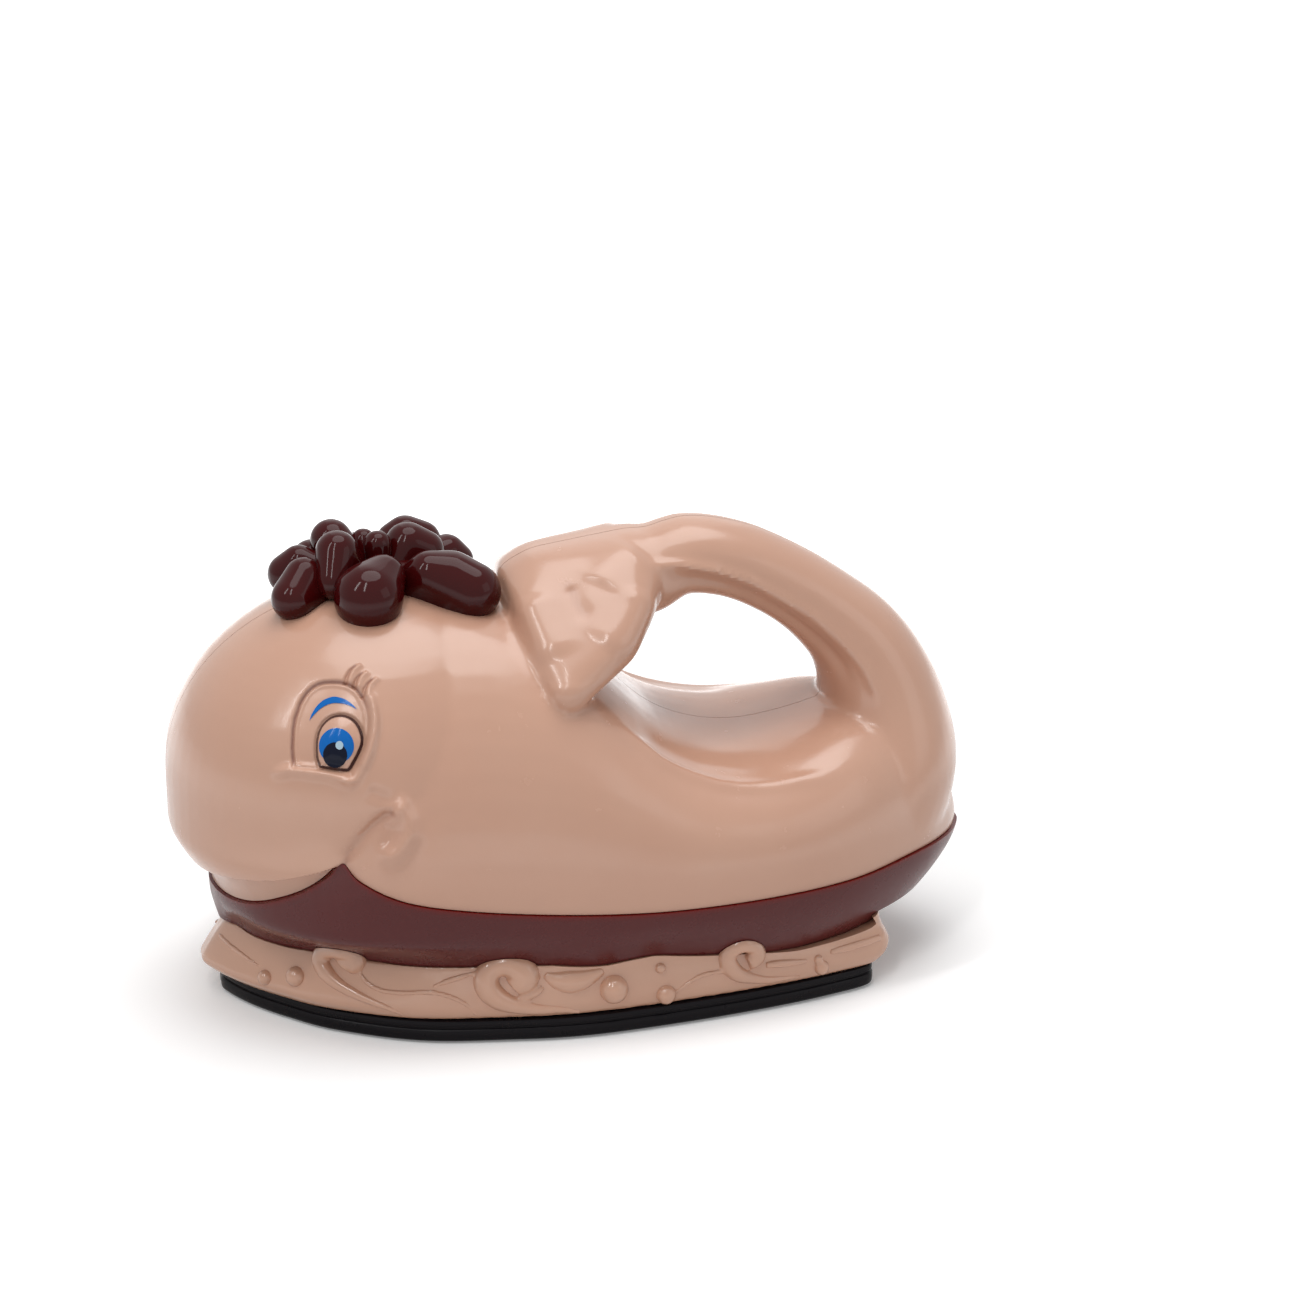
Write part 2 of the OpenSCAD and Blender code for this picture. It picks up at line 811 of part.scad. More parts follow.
// Cross recess screw standing on its head at the origin
module screw(length, head_high = screw_head_high) {
    difference() {
        union() {
            cylinder(r = screw_head_radius, h = head_high, $fn = round_sides);
            cylinder(r = screw_radius, h = head_high + length, $fn = round_sides);
        }
        for (turn = [0, 90])
            rotate([0, 0, turn])
                translate([-screw_radius, -screw_radius / 4, -cut])
                    cube([2 * screw_radius, screw_radius / 2, cut + head_high / 2]);
    }
}

// The door's screw has a thin head that sits inside the door
door_head_high = door_thick / 2 - seam;

module battery_door_screw() {
    color("silver")
        translate([door_screw_x, 0, door_level + seam / 2])
            screw(screw_length * 0.8, door_head_high);
}

module aa_cell(side) {
    nub_radius = cell_radius * 0.38;
    nub_high = cell_length * 0.026;
    color("goldenrod")
        translate([well_x - side * cell_length / 2, side * cell_y, cell_level])
            rotate([0, side * 90, 0])
                union() {
                    cylinder(r = cell_radius, h = cell_length - nub_high, $fn = cell_sides);
                    cylinder(r = nub_radius, h = cell_length, $fn = round_sides);
                }
}

module aa_cell_left() {
    aa_cell(-1);
}

module aa_cell_right() {
    aa_cell(1);
}

// Unit vector along a route at point k
function route_way(route, k) =
    let (d = route[min(k + 1, len(route) - 1)] - route[max(k - 1, 0)])
    d / norm(d);

// Round tube swept along a route, with rings square to it
module tube(route, radius, sides) {
    rings = [
        for (k = [0 : len(route) - 1])
            let (
                w = route_way(route, k),
                flat = abs(w[1]) < 0.9 ? [0, 1, 0] : [1, 0, 0],
                u = cross(flat, w) / norm(cross(flat, w)),
                v = cross(w, u)
            )
            [for (turn = [0 : 360 / sides : 359]) route[k] + radius * (cos(turn) * u + sin(turn) * v)]
    ];
    loft(rings, sides);
}

spring_wire = 0.35;
spring_turns = 3;
spring_steps = 9;
plate_thick = 0.4;
tab_wide = cell_radius * 0.4;

// Conical spring that presses on the flat end of a cell, pointing along +Z
function spring_route(free) = [
    for (k = [0 : spring_turns * spring_steps])
        let (share = k / (spring_turns * spring_steps), turn = 360 * k / spring_steps)
        let (r = cell_radius * (0.62 - 0.28 * share))
        [r * cos(turn), r * sin(turn), spring_wire + (free - 2 * spring_wire) * share]
];

module contact_springs() {
    free = contact_space - plate_thick - 2 * seam;
    color("silver")
        for (side = [-1, 1])
            translate([well_x - side * (well_long / 2 - plate_thick - seam), side * cell_y, cell_level])
                rotate([0, side * 90, 0])
                    tube(spring_route(free), spring_wire, 6);
}

tab_out = well_wall;
tab_front = well_x - well_long / 2 - well_wall - tab_out;

module contact_plates() {
    color("silver")
        for (x_side = [-1, 1], side = [-1, 1])
            translate([
                well_x + x_side * (well_long / 2 - plate_thick / 2 - seam / 2) - plate_thick / 2,
                side * cell_y - cell_radius * 0.8,
                cell_level - cell_radius * 0.8
            ])
                cube([plate_thick, cell_radius * 1.6, cell_radius * 1.6]);
    color("silver")
        for (side = [-1, 1])
            translate([tab_front, side * cell_y - tab_wide / 2, cell_level])
                cube([well_wall + plate_thick * 2 + tab_out, tab_wide, plate_thick]);
}

board_rise = 3;
board_level = well_roof + board_rise + seam / 2;
board_x = well_x;
board_places = [for (side = [-1, 1]) [board_x + side * board_length * 0.4, side * board_width * 0.36]];
board_top = board_level + board_thick;
chip_radius = 6;
chip_high = 2;

module circuit_board() {
    color("darkgreen")
        difference() {
            translate([board_x - board_length / 2, -board_width / 2, board_level])
                cube([board_length, board_width, board_thick]);
            for (p = board_places)
                translate([p[0], p[1], board_level - cut])
                    cylinder(r = shank_bore, h = board_thick + 2 * cut, $fn = round_sides);
        }
}

module sound_chip() {
    color([0.08, 0.08, 0.08])
        translate([board_x, 0, board_top + seam / 4])
            rotate_extrude($fn = round_sides)
                polygon([[0, 0], [chip_radius, 0], [chip_radius * 0.92, chip_high * 0.45],
                    [chip_radius * 0.6, chip_high * 0.85], [0, chip_high]]);
}

module board_screws() {
    color("silver")
        for (p = board_places)
            translate([p[0], p[1], board_top + seam / 2 + screw_head_high])
                rotate([180, 0, 0])
                    screw(board_rise * 0.9 + board_thick - seam);
}

module speaker() {
    color("dimgray")
        translate([speaker_x, 0, speaker_level])
            rotate_extrude($fn = wide_sides)
                polygon([
                    [0, 0.5 * speaker_flange],
                    [speaker_radius * 0.82, 0.5 * speaker_flange],
                    [speaker_radius * 0.82, 0],
                    [speaker_radius, 0],
                    [speaker_radius, speaker_flange],
                    [speaker_radius * 0.9, speaker_flange],
                    [speaker_radius * 0.6, speaker_flange + speaker_radius * 0.2],
                    [speaker_radius * 0.6, speaker_flange + speaker_radius * 0.5],
                    [0, speaker_flange + speaker_radius * 0.5]
                ]);
}

module speaker_screws() {
    washer_radius = clamp_y - speaker_radius + 0.8 * screw_radius;
    color("silver")
        for (side = [-1, 1])
            translate([speaker_x, side * clamp_y, speaker_level + speaker_flange + seam / 2]) {
                cylinder(r = washer_radius, h = screw_head_high / 2, $fn = round_sides);
                cylinder(r = screw_head_radius * 0.8, h = screw_head_high, $fn = round_sides);
                translate([0, 0, -speaker_flange * 0.9 - sole_floor * 0.3])
                    cylinder(r = screw_radius, h = screw_head_high, $fn = round_sides);
            }
}

module slide_switch() {
    color("dimgray")
        difference() {
            translate([switch_x - switch_wide / 2, -switch_long / 2, sole_floor + seam / 2])
                cube([switch_wide, switch_long, switch_high]);
            translate([knob_slot_x, -knob_slot_long / 2, 0])
                cube([knob_stem + 2 * knob_clear, knob_slot_long, sole_floor + switch_high / 2]);
        }
}

module switch_knob() {
    rest_y = -switch_travel / 2;
    color("white")
        union() {
            translate([switch_x - knob_wide / 2, rest_y - knob_long / 2, knob_level])
                cube([knob_wide, knob_long, dish_deep - knob_clear]);
            translate([switch_x - knob_stem / 2, rest_y - knob_stem / 2, knob_level])
                cube([knob_stem, knob_stem, sole_floor + switch_high / 2 - knob_level - knob_clear]);
        }
}

lamp_radius = 2.5;
lamp_high = 7;
lamp_rim = lamp_radius * 1.15;
rim_high = lamp_high * 0.14;

// Round-nosed lamp standing on its rim
module lamp() {
    rotate_extrude($fn = round_sides)
        polygon(concat(
            [[0, 0], [lamp_rim, 0], [lamp_rim, rim_high], [lamp_radius, rim_high]],
            [for (k = [0 : 6]) [
                lamp_radius * cos(15 * k), lamp_high - lamp_radius + lamp_radius * sin(15 * k)
            ]]
        ));
}

module belly_lamps() {
    color("mistyrose")
        for (side = [-1, 1])
            translate([board_x - side * board_length * 0.4, side * board_width * 0.36, board_top + seam / 4])
                lamp();
}

lamp_base = plug_top - plug_deep - lamp_high * 0.3;

module spout_lamp() {
    color("mistyrose")
        translate([plug_x, 0, lamp_base])
            lamp();
}

// Droplets of the tuft from the root to the tip, the last row being their shared root: the place
// along the body, to the side and above the head, and the radius, in droplet radii
tuft_shares = [
    [[2.1, -0.4, 0.56, 0.9], [4.06, -0.8, -0.16, 1.2]],
    [[-0.06, -1, 0.62, 1.02], [-0.96, -2.1, 0.16, 1.32]],
    [[-2.06, -0.1, 0.4, 0.68], [-3.48, -0.3, 0.8, 0.76], [-4.26, -1, -0.06, 0.76]],
    [[-1.26, -0.2, 0.3, 0.68], [-1.92, -0.3, 1.56, 0.96], [-2.48, -1.2, 0.48, 0.68]],
    [[-0.06, 0, 0.5, 0.8], [-0.12, 0, 1.64, 0.56]],
    [[-0.66, 0.6, 0.5, 0.8], [-0.66, 0.8, 1.46, 0.68]],
    [[0.94, 0.6, 0.3, 0.8], [1.26, 1.2, 1.46, 0.88], [2.32, 1, 1.1, 0.84]],
    [[0.94, 1.2, 0.3, 0.8], [1.12, 2.2, 1.32, 0.88], [1.98, 2.2, 1.22, 0.84]],
    [[1.94, 1.2, 0.5, 0.72], [3, 2, 0.74, 0.68], [3.56, 2.3, 0.44, 0.8], [3.34, 2, -0.4, 0.72]],
    [[-1.06, 1, 0.4, 0.8], [-1.64, 2, 1.4, 0.8], [-2.12, 2, 1.52, 0.76], [-2.38, 1.2, 1.42, 0.64]],
    [[-1.86, 0.6, 0.4, 0.72], [-3.3, 1.2, 0.76, 0.72], [-4.02, 1.4, 0.24, 0.84]],
    [[-0.06, 1.2, 0.5, 0.92], [-0.56, 2.5, 0.18, 1.24]],
    [[-1.46, 1.2, 0.4, 0.72], [-2.76, 2.7, 0.2, 1]],
    [[1.74, 1.2, 0.4, 0.8], [3.14, 2.6, -0.3, 1.08]],
    [[-1.46, 0, -0.1, 1], [1.34, 0, -0.1, 1], [-0.06, 1, -0.1, 1]]
];

// The rear droplets reach up to the tail's fluke
fluke_clear = 0.78;
rear_drop = tuft_shares[0][1];
tuft_back = (fluke_front - fluke_clear - plug_x - rear_drop[3] * drop_radius) / rear_drop[0];

module droplet(balls) {
    hull()
        for (p = balls)
            translate([p[0] * (p[0] > 0 ? tuft_back : drop_radius), p[1] * drop_radius, p[2] * drop_radius])
                sphere(p[3] * drop_radius, $fn = drop_sides);
}

module spout_tuft() {
    color([0.33, 0.13, 0.15])
        difference() {
            union() {
                difference() {
                    translate([plug_x, 0, head_top])
                        for (balls = tuft_shares)
                            droplet(balls);
                    head(-seam);
                    torso(-seam);
                }
                translate([plug_x, 0, plug_top - plug_deep])
                    cylinder(r = plug_radius, h = plug_deep + drop_radius, $fn = ring_sides);
                translate([plug_x, 0, plug_top - plug_deep - shell_wall])
                    cylinder(r = plug_flange, h = shell_wall, $fn = ring_sides);
            }
            translate([plug_x, 0, lamp_base - cut])
                cylinder(r = lamp_rim + seam, h = lamp_high + cut + seam, $fn = blend_sides);
        }
}

module shell_screws() {
    color("silver")
        for (p = shell_screw_places)
            translate(p + [0, grip_length + screw_head_high + seam / 2, 0])
                rotate([90, 0, 0])
                    screw(screw_length - seam);
}

module base_screws() {
    color("silver")
        for (p = post_places)
            translate([p[0], p[1], deck_level - base_wall - seam / 2 - screw_head_high])
                screw(screw_length);
}

module sole_screws() {
    color("silver")
        for (p = foot_places)
            translate([p[0], p[1], foot_head_level])
                screw(screw_length * 0.9);
}

wire_radius = 0.7;
wire_bend = 6;
board_front = board_x - board_length / 2;
switch_top = sole_floor + seam / 2 + switch_high;
// Places of the wire pairs on the board: how far in from its front edge and to each side
switch_pad = [2.6 * wire_radius, 2.2 * wire_radius];
battery_pad = [2.6 * wire_radius, 5.6 * wire_radius];
speaker_pad = [2.6 * wire_radius, 8.4 * wire_radius];
lamp_pad = [11 * wire_radius, 2.0 * wire_radius];

// The end of a wire that stands on its pad
function on_board(pad, side) = [
    [board_front + pad[0], side * pad[1], board_top + wire_bend * 0.7],
    [board_front + pad[0], side * pad[1], board_top + wire_bend * 0.3],
    [board_front + pad[0], side * pad[1], board_top + seam / 2]
];

function switch_route(side) = concat([
    [switch_x, side * 4 * wire_radius, switch_top + seam / 2],
    [switch_x, side * 4 * wire_radius, switch_top + wire_bend * 0.4],
    [switch_x + wire_bend, side * 4 * wire_radius, board_level - wire_bend],
    [board_front - wire_bend, side * 3 * wire_radius, board_top + wire_bend * 0.8]
], on_board(switch_pad, side));

function battery_route(side) = concat([
    [tab_front - seam / 2, side * cell_y, cell_level],
    [tab_front - wire_bend * 0.3, side * cell_y, cell_level],
    [tab_front - wire_bend * 0.5, side * cell_y, cell_level + wire_bend],
    [board_front - wire_bend, side * 7 * wire_radius, board_top + wire_bend * 0.6]
], on_board(battery_pad, side));

function speaker_route(side) = concat([
    [speaker_x + speaker_radius * 0.72, side * speaker_radius * 0.3, speaker_level + speaker_radius * 0.3],
    [speaker_x + speaker_radius * 0.74, side * speaker_radius * 0.3, speaker_level + speaker_radius * 0.42],
    [speaker_x + speaker_radius, side * speaker_radius * 0.45, board_level - wire_bend],
    [switch_x, side * speaker_radius * 0.6, board_level],
    [board_front - wire_bend * 1.6, side * speaker_radius * 0.6, board_top + wire_bend * 0.8]
], on_board(speaker_pad, side));

function over_board(share) = board_top + share * (lamp_base - board_top);

function spout_route(side) = concat([
    [plug_x, side * 2 * wire_radius, lamp_base - seam / 2],
    [plug_x, side * 2 * wire_radius, lamp_base - wire_bend],
    [-0.218 * body_length, side * 2 * wire_radius, over_board(0.60)],
    [-0.150 * body_length, side * 2 * wire_radius, over_board(0.40)],
    [-0.050 * body_length, side * 2 * wire_radius, over_board(0.26)]
], on_board(lamp_pad, side));

module wire_pair(routes) {
    for (route = routes)
        tube(dense(route, 2), wire_radius, 8);
}

module switch_wires() {
    color("white")
        wire_pair([switch_route(-1), switch_route(1)]);
}

module battery_wires() {
    color("red")
        wire_pair([battery_route(-1), battery_route(1)]);
}

module speaker_wires() {
    color("yellow")
        wire_pair([speaker_route(-1), speaker_route(1)]);
}

module spout_lamp_wires() {
    color("green")
        wire_pair([spout_route(-1), spout_route(1)]);
}

left_body_shell();
right_body_shell();
belly_band();
wave_base();
soleplate();
spout_tuft();
left_eye_print();
right_eye_print();
battery_door();
battery_door_screw();
aa_cell_left();
aa_cell_right();
contact_springs();
contact_plates();
circuit_board();
sound_chip();
board_screws();
speaker();
speaker_screws();
slide_switch();
switch_knob();
belly_lamps();
spout_lamp();
shell_screws();
base_screws();
sole_screws();
battery_wires();
switch_wires();
speaker_wires();
spout_lamp_wires();
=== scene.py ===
import math
import bmesh
import bpy
import numpy as np
from mathutils import Matrix, Vector
from mathutils.bvhtree import BVHTree


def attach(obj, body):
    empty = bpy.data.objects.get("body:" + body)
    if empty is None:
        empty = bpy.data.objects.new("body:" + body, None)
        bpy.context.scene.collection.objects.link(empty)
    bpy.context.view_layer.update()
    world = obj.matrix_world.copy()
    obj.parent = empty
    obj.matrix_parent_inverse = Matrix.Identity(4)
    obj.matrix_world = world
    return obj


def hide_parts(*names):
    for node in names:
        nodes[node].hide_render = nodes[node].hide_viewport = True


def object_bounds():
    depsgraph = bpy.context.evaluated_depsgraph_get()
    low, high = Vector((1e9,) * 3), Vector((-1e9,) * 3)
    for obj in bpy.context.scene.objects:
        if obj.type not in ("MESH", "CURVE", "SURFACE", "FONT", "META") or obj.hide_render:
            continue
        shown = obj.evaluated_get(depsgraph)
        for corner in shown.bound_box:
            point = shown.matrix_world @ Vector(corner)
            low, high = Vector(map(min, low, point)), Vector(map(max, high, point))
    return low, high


# Toy iron in the shape of a whale. Tables are in millimetres and are turned into metres where they are used.
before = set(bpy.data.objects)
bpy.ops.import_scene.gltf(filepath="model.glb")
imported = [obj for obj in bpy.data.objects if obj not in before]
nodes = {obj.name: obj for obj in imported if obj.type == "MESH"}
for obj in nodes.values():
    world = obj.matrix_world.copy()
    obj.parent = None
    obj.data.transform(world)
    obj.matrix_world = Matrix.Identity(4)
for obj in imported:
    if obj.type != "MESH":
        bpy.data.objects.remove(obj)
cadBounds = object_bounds()
scene = bpy.context.scene
mm = 0.001

view = {
    "place": (-0.136, -0.7295, 0.3442),
    "turn": -12,  # degrees round the upright
    "tilt": 70,  # degrees up from straight down
    "lens": 96.33,
}


def setCamera():
    data = bpy.data.cameras.new("camera")
    data.lens = view["lens"]
    data.sensor_width = 36
    camera = bpy.data.objects.new("camera", data)
    camera.location = view["place"]
    camera.rotation_euler = (math.radians(view["tilt"]), 0, math.radians(view["turn"]))
    scene.collection.objects.link(camera)
    scene.camera = camera


studio = {
    "leftStrip": {"place": (-0.6, -0.3, 0.78), "wide": 0.07, "tall": 0.5, "power": 1.6},
    "rightStrip": {"place": (-0.28, -0.56, 0.84), "wide": 0.07, "tall": 0.5, "power": 1.6},
    "top": {"place": (0.1, 0.05, 1.1), "wide": 0.8, "tall": 1.0, "power": 7.6, "shape": "ELLIPSE"},
    "fill": {"place": (0.75, -0.55, 0.45), "wide": 0.5, "tall": 0.5, "power": 0.6},
    "back": {"place": (0.15, 0.75, 0.7), "wide": 0.7, "tall": 0.7, "power": 0.7},
    "sky": 0.3,
    "floorNear": 0.16,  # glow of the floor beside the object, where its shadow falls
    "floorFar": 0.34,  # metres from the object where the floor is plain white
}


def addLamp(name, place, wide, tall, power, shape="RECTANGLE"):
    data = bpy.data.lights.new(name, "AREA")
    data.shape = shape
    data.size = wide
    data.size_y = tall
    data.energy = power
    lamp = bpy.data.objects.new(name, data)
    lamp.location = place
    lamp.rotation_euler = (Vector((0, 0, 0.05)) - Vector(place)).to_track_quat("-Z", "Y").to_euler()
    scene.collection.objects.link(lamp)


def setValues(node, **values):
    # sets a node's own settings, or else its inputs of that name
    for key, value in values.items():
        if hasattr(node, key):
            setattr(node, key, value)
        else:
            node.inputs[key.replace("_", " ")].default_value = value
    return node


def addNode(tree, kind, **values):
    return setValues(tree.nodes.new("ShaderNode" + kind), **values)


def wire(tree, *rows):
    # each row leads from a node's output to a node's input
    for source, output, target, into in rows:
        tree.links.new(source.outputs[output], target.inputs[into])


def seenRays(tree):
    # 1 where the camera sees a thing, also in a mirror or through glass
    path = addNode(tree, "LightPath")
    last, output = path, "Is Camera Ray"
    for label in ("Is Glossy Ray", "Is Transmission Ray"):
        most = addNode(tree, "Math", operation="MAXIMUM")
        wire(tree, (last, output, most, 0), (path, label, most, 1))
        last, output = most, 0
    return last


def setStudio():
    for name in ("leftStrip", "rightStrip", "top", "fill", "back"):
        addLamp(name + "Lamp", **studio[name])
    world = bpy.data.worlds.new("studio")
    scene.world = world
    world.use_nodes = True
    tree = world.node_tree
    tree.nodes.clear()
    out = addNode(tree, "OutputWorld")
    light = addNode(tree, "Background", Color=(1, 1, 1, 1), Strength=studio["sky"])
    shown = addNode(tree, "Background", Color=(1, 1, 1, 1), Strength=1)
    mix = addNode(tree, "MixShader")
    wire(tree, (seenRays(tree), 0, mix, 0), (light, 0, mix, 1), (shown, 0, mix, 2), (mix, 0, out, 0))
    scene.view_settings.view_transform = "Standard"


def smoothRows(rows, parts):
    # rows of a table with extra ones on a smooth curve through them
    rows = np.array(rows, float)
    last = len(rows) - 1
    out = []
    for step in range(last * parts + 1):
        i = min(step // parts, last - 1)
        f = step / parts - i
        a, b, c, d = rows[max(i - 1, 0)], rows[i], rows[i + 1], rows[min(i + 2, last)]
        out.append(b + f * (c - a) / 2 + f * f * (2 * a - 5 * b + 4 * c - d) / 2
                   + f ** 3 * (3 * b - 3 * c + d - a) / 2)
    return out


def circle(count, start=0.0):
    # cosines and sines round a circle
    turns = [2 * math.pi * (k + start) / count for k in range(count)]
    return [(math.cos(turn), math.sin(turn)) for turn in turns]


def opened(mesh):
    bm = bmesh.new()
    bm.from_mesh(mesh)
    return bm


def stored(bm, mesh):
    # a bmesh written into a mesh and let go
    bm.to_mesh(mesh)
    bm.free()
    mesh.update()
    return mesh


def closeUp(bm):
    bmesh.ops.remove_doubles(bm, verts=bm.verts, dist=0.001)
    bmesh.ops.holes_fill(bm, edges=bm.edges, sides=0)
    bmesh.ops.recalc_face_normals(bm, faces=bm.faces)
    return bm


def skin(rings, closed=True):
    # a grid laid over rings of points, welded along its side and filled at both ends
    count = len(rings[0])
    bm = bmesh.new()
    bmesh.ops.create_grid(bm, x_segments=count if closed else count - 1, y_segments=len(rings) - 1, size=1)
    across = count + 1 if closed else count
    for index, vert in enumerate(bm.verts):
        vert.co = Vector(rings[index // across][index % across % count])
    return closeUp(bm) if closed else bm


def toMesh(*parts):
    # several bmeshes in millimetres as one mesh
    whole = bmesh.new()
    for part in parts:
        held = stored(part, bpy.data.meshes.new("held"))
        whole.from_mesh(held)
        bpy.data.meshes.remove(held)
    return stored(whole, bpy.data.meshes.new("parts"))


def asMesh(shape):
    return shape if isinstance(shape, bpy.types.Mesh) else toMesh(shape)


def shaped(shape, *steps):
    # a mesh or bmesh after a list of modifiers
    obj = bpy.data.objects.new("work", asMesh(shape))
    scene.collection.objects.link(obj)
    for kind, values in steps:
        modifier = obj.modifiers.new(kind, kind)
        for key, value in values.items():
            setattr(modifier, key, value)
    graph = bpy.context.evaluated_depsgraph_get()
    result = bpy.data.meshes.new_from_object(obj.evaluated_get(graph))
    bpy.data.objects.remove(obj)
    return result


def combined(shape, operation, *tools):
    # a shape joined with, cut by or kept inside others
    objects = [bpy.data.objects.new("tool", asMesh(tool)) for tool in tools]
    for obj in objects:
        scene.collection.objects.link(obj)
    steps = [("BOOLEAN", {"operation": operation, "solver": "MANIFOLD", "object": obj}) for obj in objects]
    result = shaped(shape, *steps)
    for obj in objects:
        bpy.data.objects.remove(obj)
    return result


def remeshed(shape, voxel, rounds):
    return shaped(shape, ("REMESH", {"mode": "VOXEL", "voxel_size": voxel, "adaptivity": 0}),
                  ("SMOOTH", {"iterations": rounds, "factor": 0.5}))


def block(low, high):
    # a box between two corners
    bm = bmesh.new()
    middle = (Vector(low) + Vector(high)) / 2
    size = Vector(high) - Vector(low)
    bmesh.ops.create_cube(bm, size=1, matrix=Matrix.Translation(middle) @ Matrix.Diagonal((*size, 1)))
    return bm


def layer(low, high):
    # everything between two heights
    return block((-120, -80, low), (120, 80, high))


def ball(place, radii, detail):
    bm = bmesh.new()
    matrix = Matrix.Translation(place) @ Matrix.Diagonal((*radii, 1))
    bmesh.ops.create_uvsphere(bm, u_segments=detail * 2, v_segments=detail, radius=1, matrix=matrix)
    return bm


def rod(start, radius, length, way=(0, 0, 1)):
    bm = bmesh.new()
    way = Vector(way).normalized()
    turn = way.to_track_quat("Z", "Y").to_matrix().to_4x4()
    matrix = Matrix.Translation(Vector(start) + way * length / 2) @ turn
    bmesh.ops.create_cone(
        bm, cap_ends=True, segments=48, radius1=radius, radius2=radius, depth=length, matrix=matrix)
    return bm


def wrapped(*parts):
    # the convex skin round several parts
    mesh = toMesh(*parts)
    bm = opened(mesh)
    bpy.data.meshes.remove(mesh)
    made = bmesh.ops.convex_hull(bm, input=bm.verts)
    bmesh.ops.delete(bm, geom=made["geom_interior"] + made["geom_unused"], context="VERTS")
    bmesh.ops.recalc_face_normals(bm, faces=bm.faces)
    return bm


def relax(bm, verts, rounds):
    for _ in range(rounds):
        bmesh.ops.smooth_vert(bm, verts=verts, factor=0.5, use_axis_x=True, use_axis_y=True, use_axis_z=True)


def softened(mesh, low, high, rounds):
    # the part of a mesh inside a box, made smoother
    bm = opened(mesh)
    relax(bm, [v for v in bm.verts if all(a < c < b for a, c, b in zip(low, v.co, high))], rounds)
    return stored(bm, mesh)


def refined(mesh, picker, cuts):
    # finer faces where a test on the faces' middles says so
    bm = opened(mesh)
    chosen = picker(np.array([face.calc_center_median() for face in bm.faces]))
    edges = list({e for f, taken in zip(list(bm.faces), chosen) if taken for e in f.edges})
    made = bmesh.ops.subdivide_edges(bm, edges=edges, cuts=cuts, use_grid_fill=True)
    relax(bm, [v for v in made["geom_inner"] if isinstance(v, bmesh.types.BMVert)], 4)
    return stored(bm, mesh)


def getPoints(mesh, kind="co"):
    values = np.empty(len(mesh.vertices) * 3, np.float32)
    mesh.vertices.foreach_get(kind, values)
    return values.reshape(-1, 3).astype(float)


def getSurface(mesh):
    return getPoints(mesh), getPoints(mesh, "normal")


def setPoints(mesh, points):
    mesh.vertices.foreach_set("co", points.astype(np.float32).ravel())
    mesh.update()


def pathDistance(points, path):
    # distance from every point to a path, and how far along the path it lies
    path = np.array(path, float)
    best = np.full(len(points), 1e9)
    along = np.zeros(len(points))
    for k in range(len(path) - 1):
        a, way = path[k], path[k + 1] - path[k]
        t = np.clip((points - a) @ way / (way @ way), 0, 1)
        far = np.linalg.norm(points - (a + t[:, None] * way), axis=1)
        closer = far < best
        best[closer] = far[closer]
        along[closer] = (k + t[closer]) / (len(path) - 1)
    return best, along


whale = {
    "length": 184,
    "width": 92,
    "height": 106,
    "headX": -45.5,
    "headHalf": (46.5, 42),
    "headTop": 94.5,
    "faceLow": 26.5,
    "stemThick": 18.6,
    "stemWidth": 23,
    "flukeThick": 9.5,
    "flukeReach": 32,
    "wall": 2.2,
    "seam": 0.2,
    "sides": 56,
}

# place along the body, half width, heights of the top, the widest level and the underside, and
# how square the shoulders are
torsoRows = [
    [-0.451, 0.034, 0.275, 0.255, 0.235, 1.0],
    [-0.4455, 0.17, 0.32, 0.26, 0.195, 1.0],
    [-0.4317, 0.345, 0.39, 0.264, 0.12, 1.0],
    [-0.4098, 0.52, 0.48, 0.274, 0.045, 1.0],
    [-0.377, 0.68, 0.585, 0.285, 0.0, 1.0],
    [-0.328, 0.85, 0.71, 0.31, -0.02, 1.0],
    [-0.268, 0.96, 0.815, 0.34, -0.028, 1.02],
    [-0.19, 0.995, 0.868, 0.33, -0.028, 1.06],
    [-0.1, 1.0, 0.848, 0.31, -0.028, 1.1],
    [-0.02, 1.0, 0.77, 0.296, -0.028, 1.16],
    [0.044, 0.996, 0.662, 0.288, -0.028, 1.26],
    [0.095, 0.983, 0.582, 0.283, -0.028, 1.4],
    [0.15, 0.957, 0.54, 0.283, -0.028, 1.5],
    [0.208, 0.913, 0.528, 0.283, -0.026, 1.5],
    [0.268, 0.848, 0.543, 0.283, -0.01, 1.44],
    [0.322, 0.761, 0.566, 0.283, 0.015, 1.34],
    [0.377, 0.63, 0.566, 0.283, 0.065, 1.22],
    [0.426, 0.478, 0.519, 0.283, 0.135, 1.12],
    [0.462, 0.304, 0.434, 0.278, 0.196, 1.05],
    [0.482, 0.163, 0.358, 0.274, 0.232, 1.0],
    [0.4935, 0.04, 0.29, 0.269, 0.25, 1.0],
]

# place along the body, height, half thickness and half width of the tail
stemRows = [
    [0.056, 0.868, 0.5, 0.6],
    [0.082, 0.862, 0.92, 1.04],
    [0.131, 0.908, 0.96, 0.98],
    [0.197, 0.893, 0.94, 0.96],
    [0.262, 0.839, 0.94, 1.0],
    [0.317, 0.769, 1.02, 1.09],
    [0.362, 0.685, 1.22, 1.26],
    [0.389, 0.575, 1.52, 1.57],
    [0.393, 0.443, 1.92, 2.1],
    [0.365, 0.33, 2.2, 2.36],
]

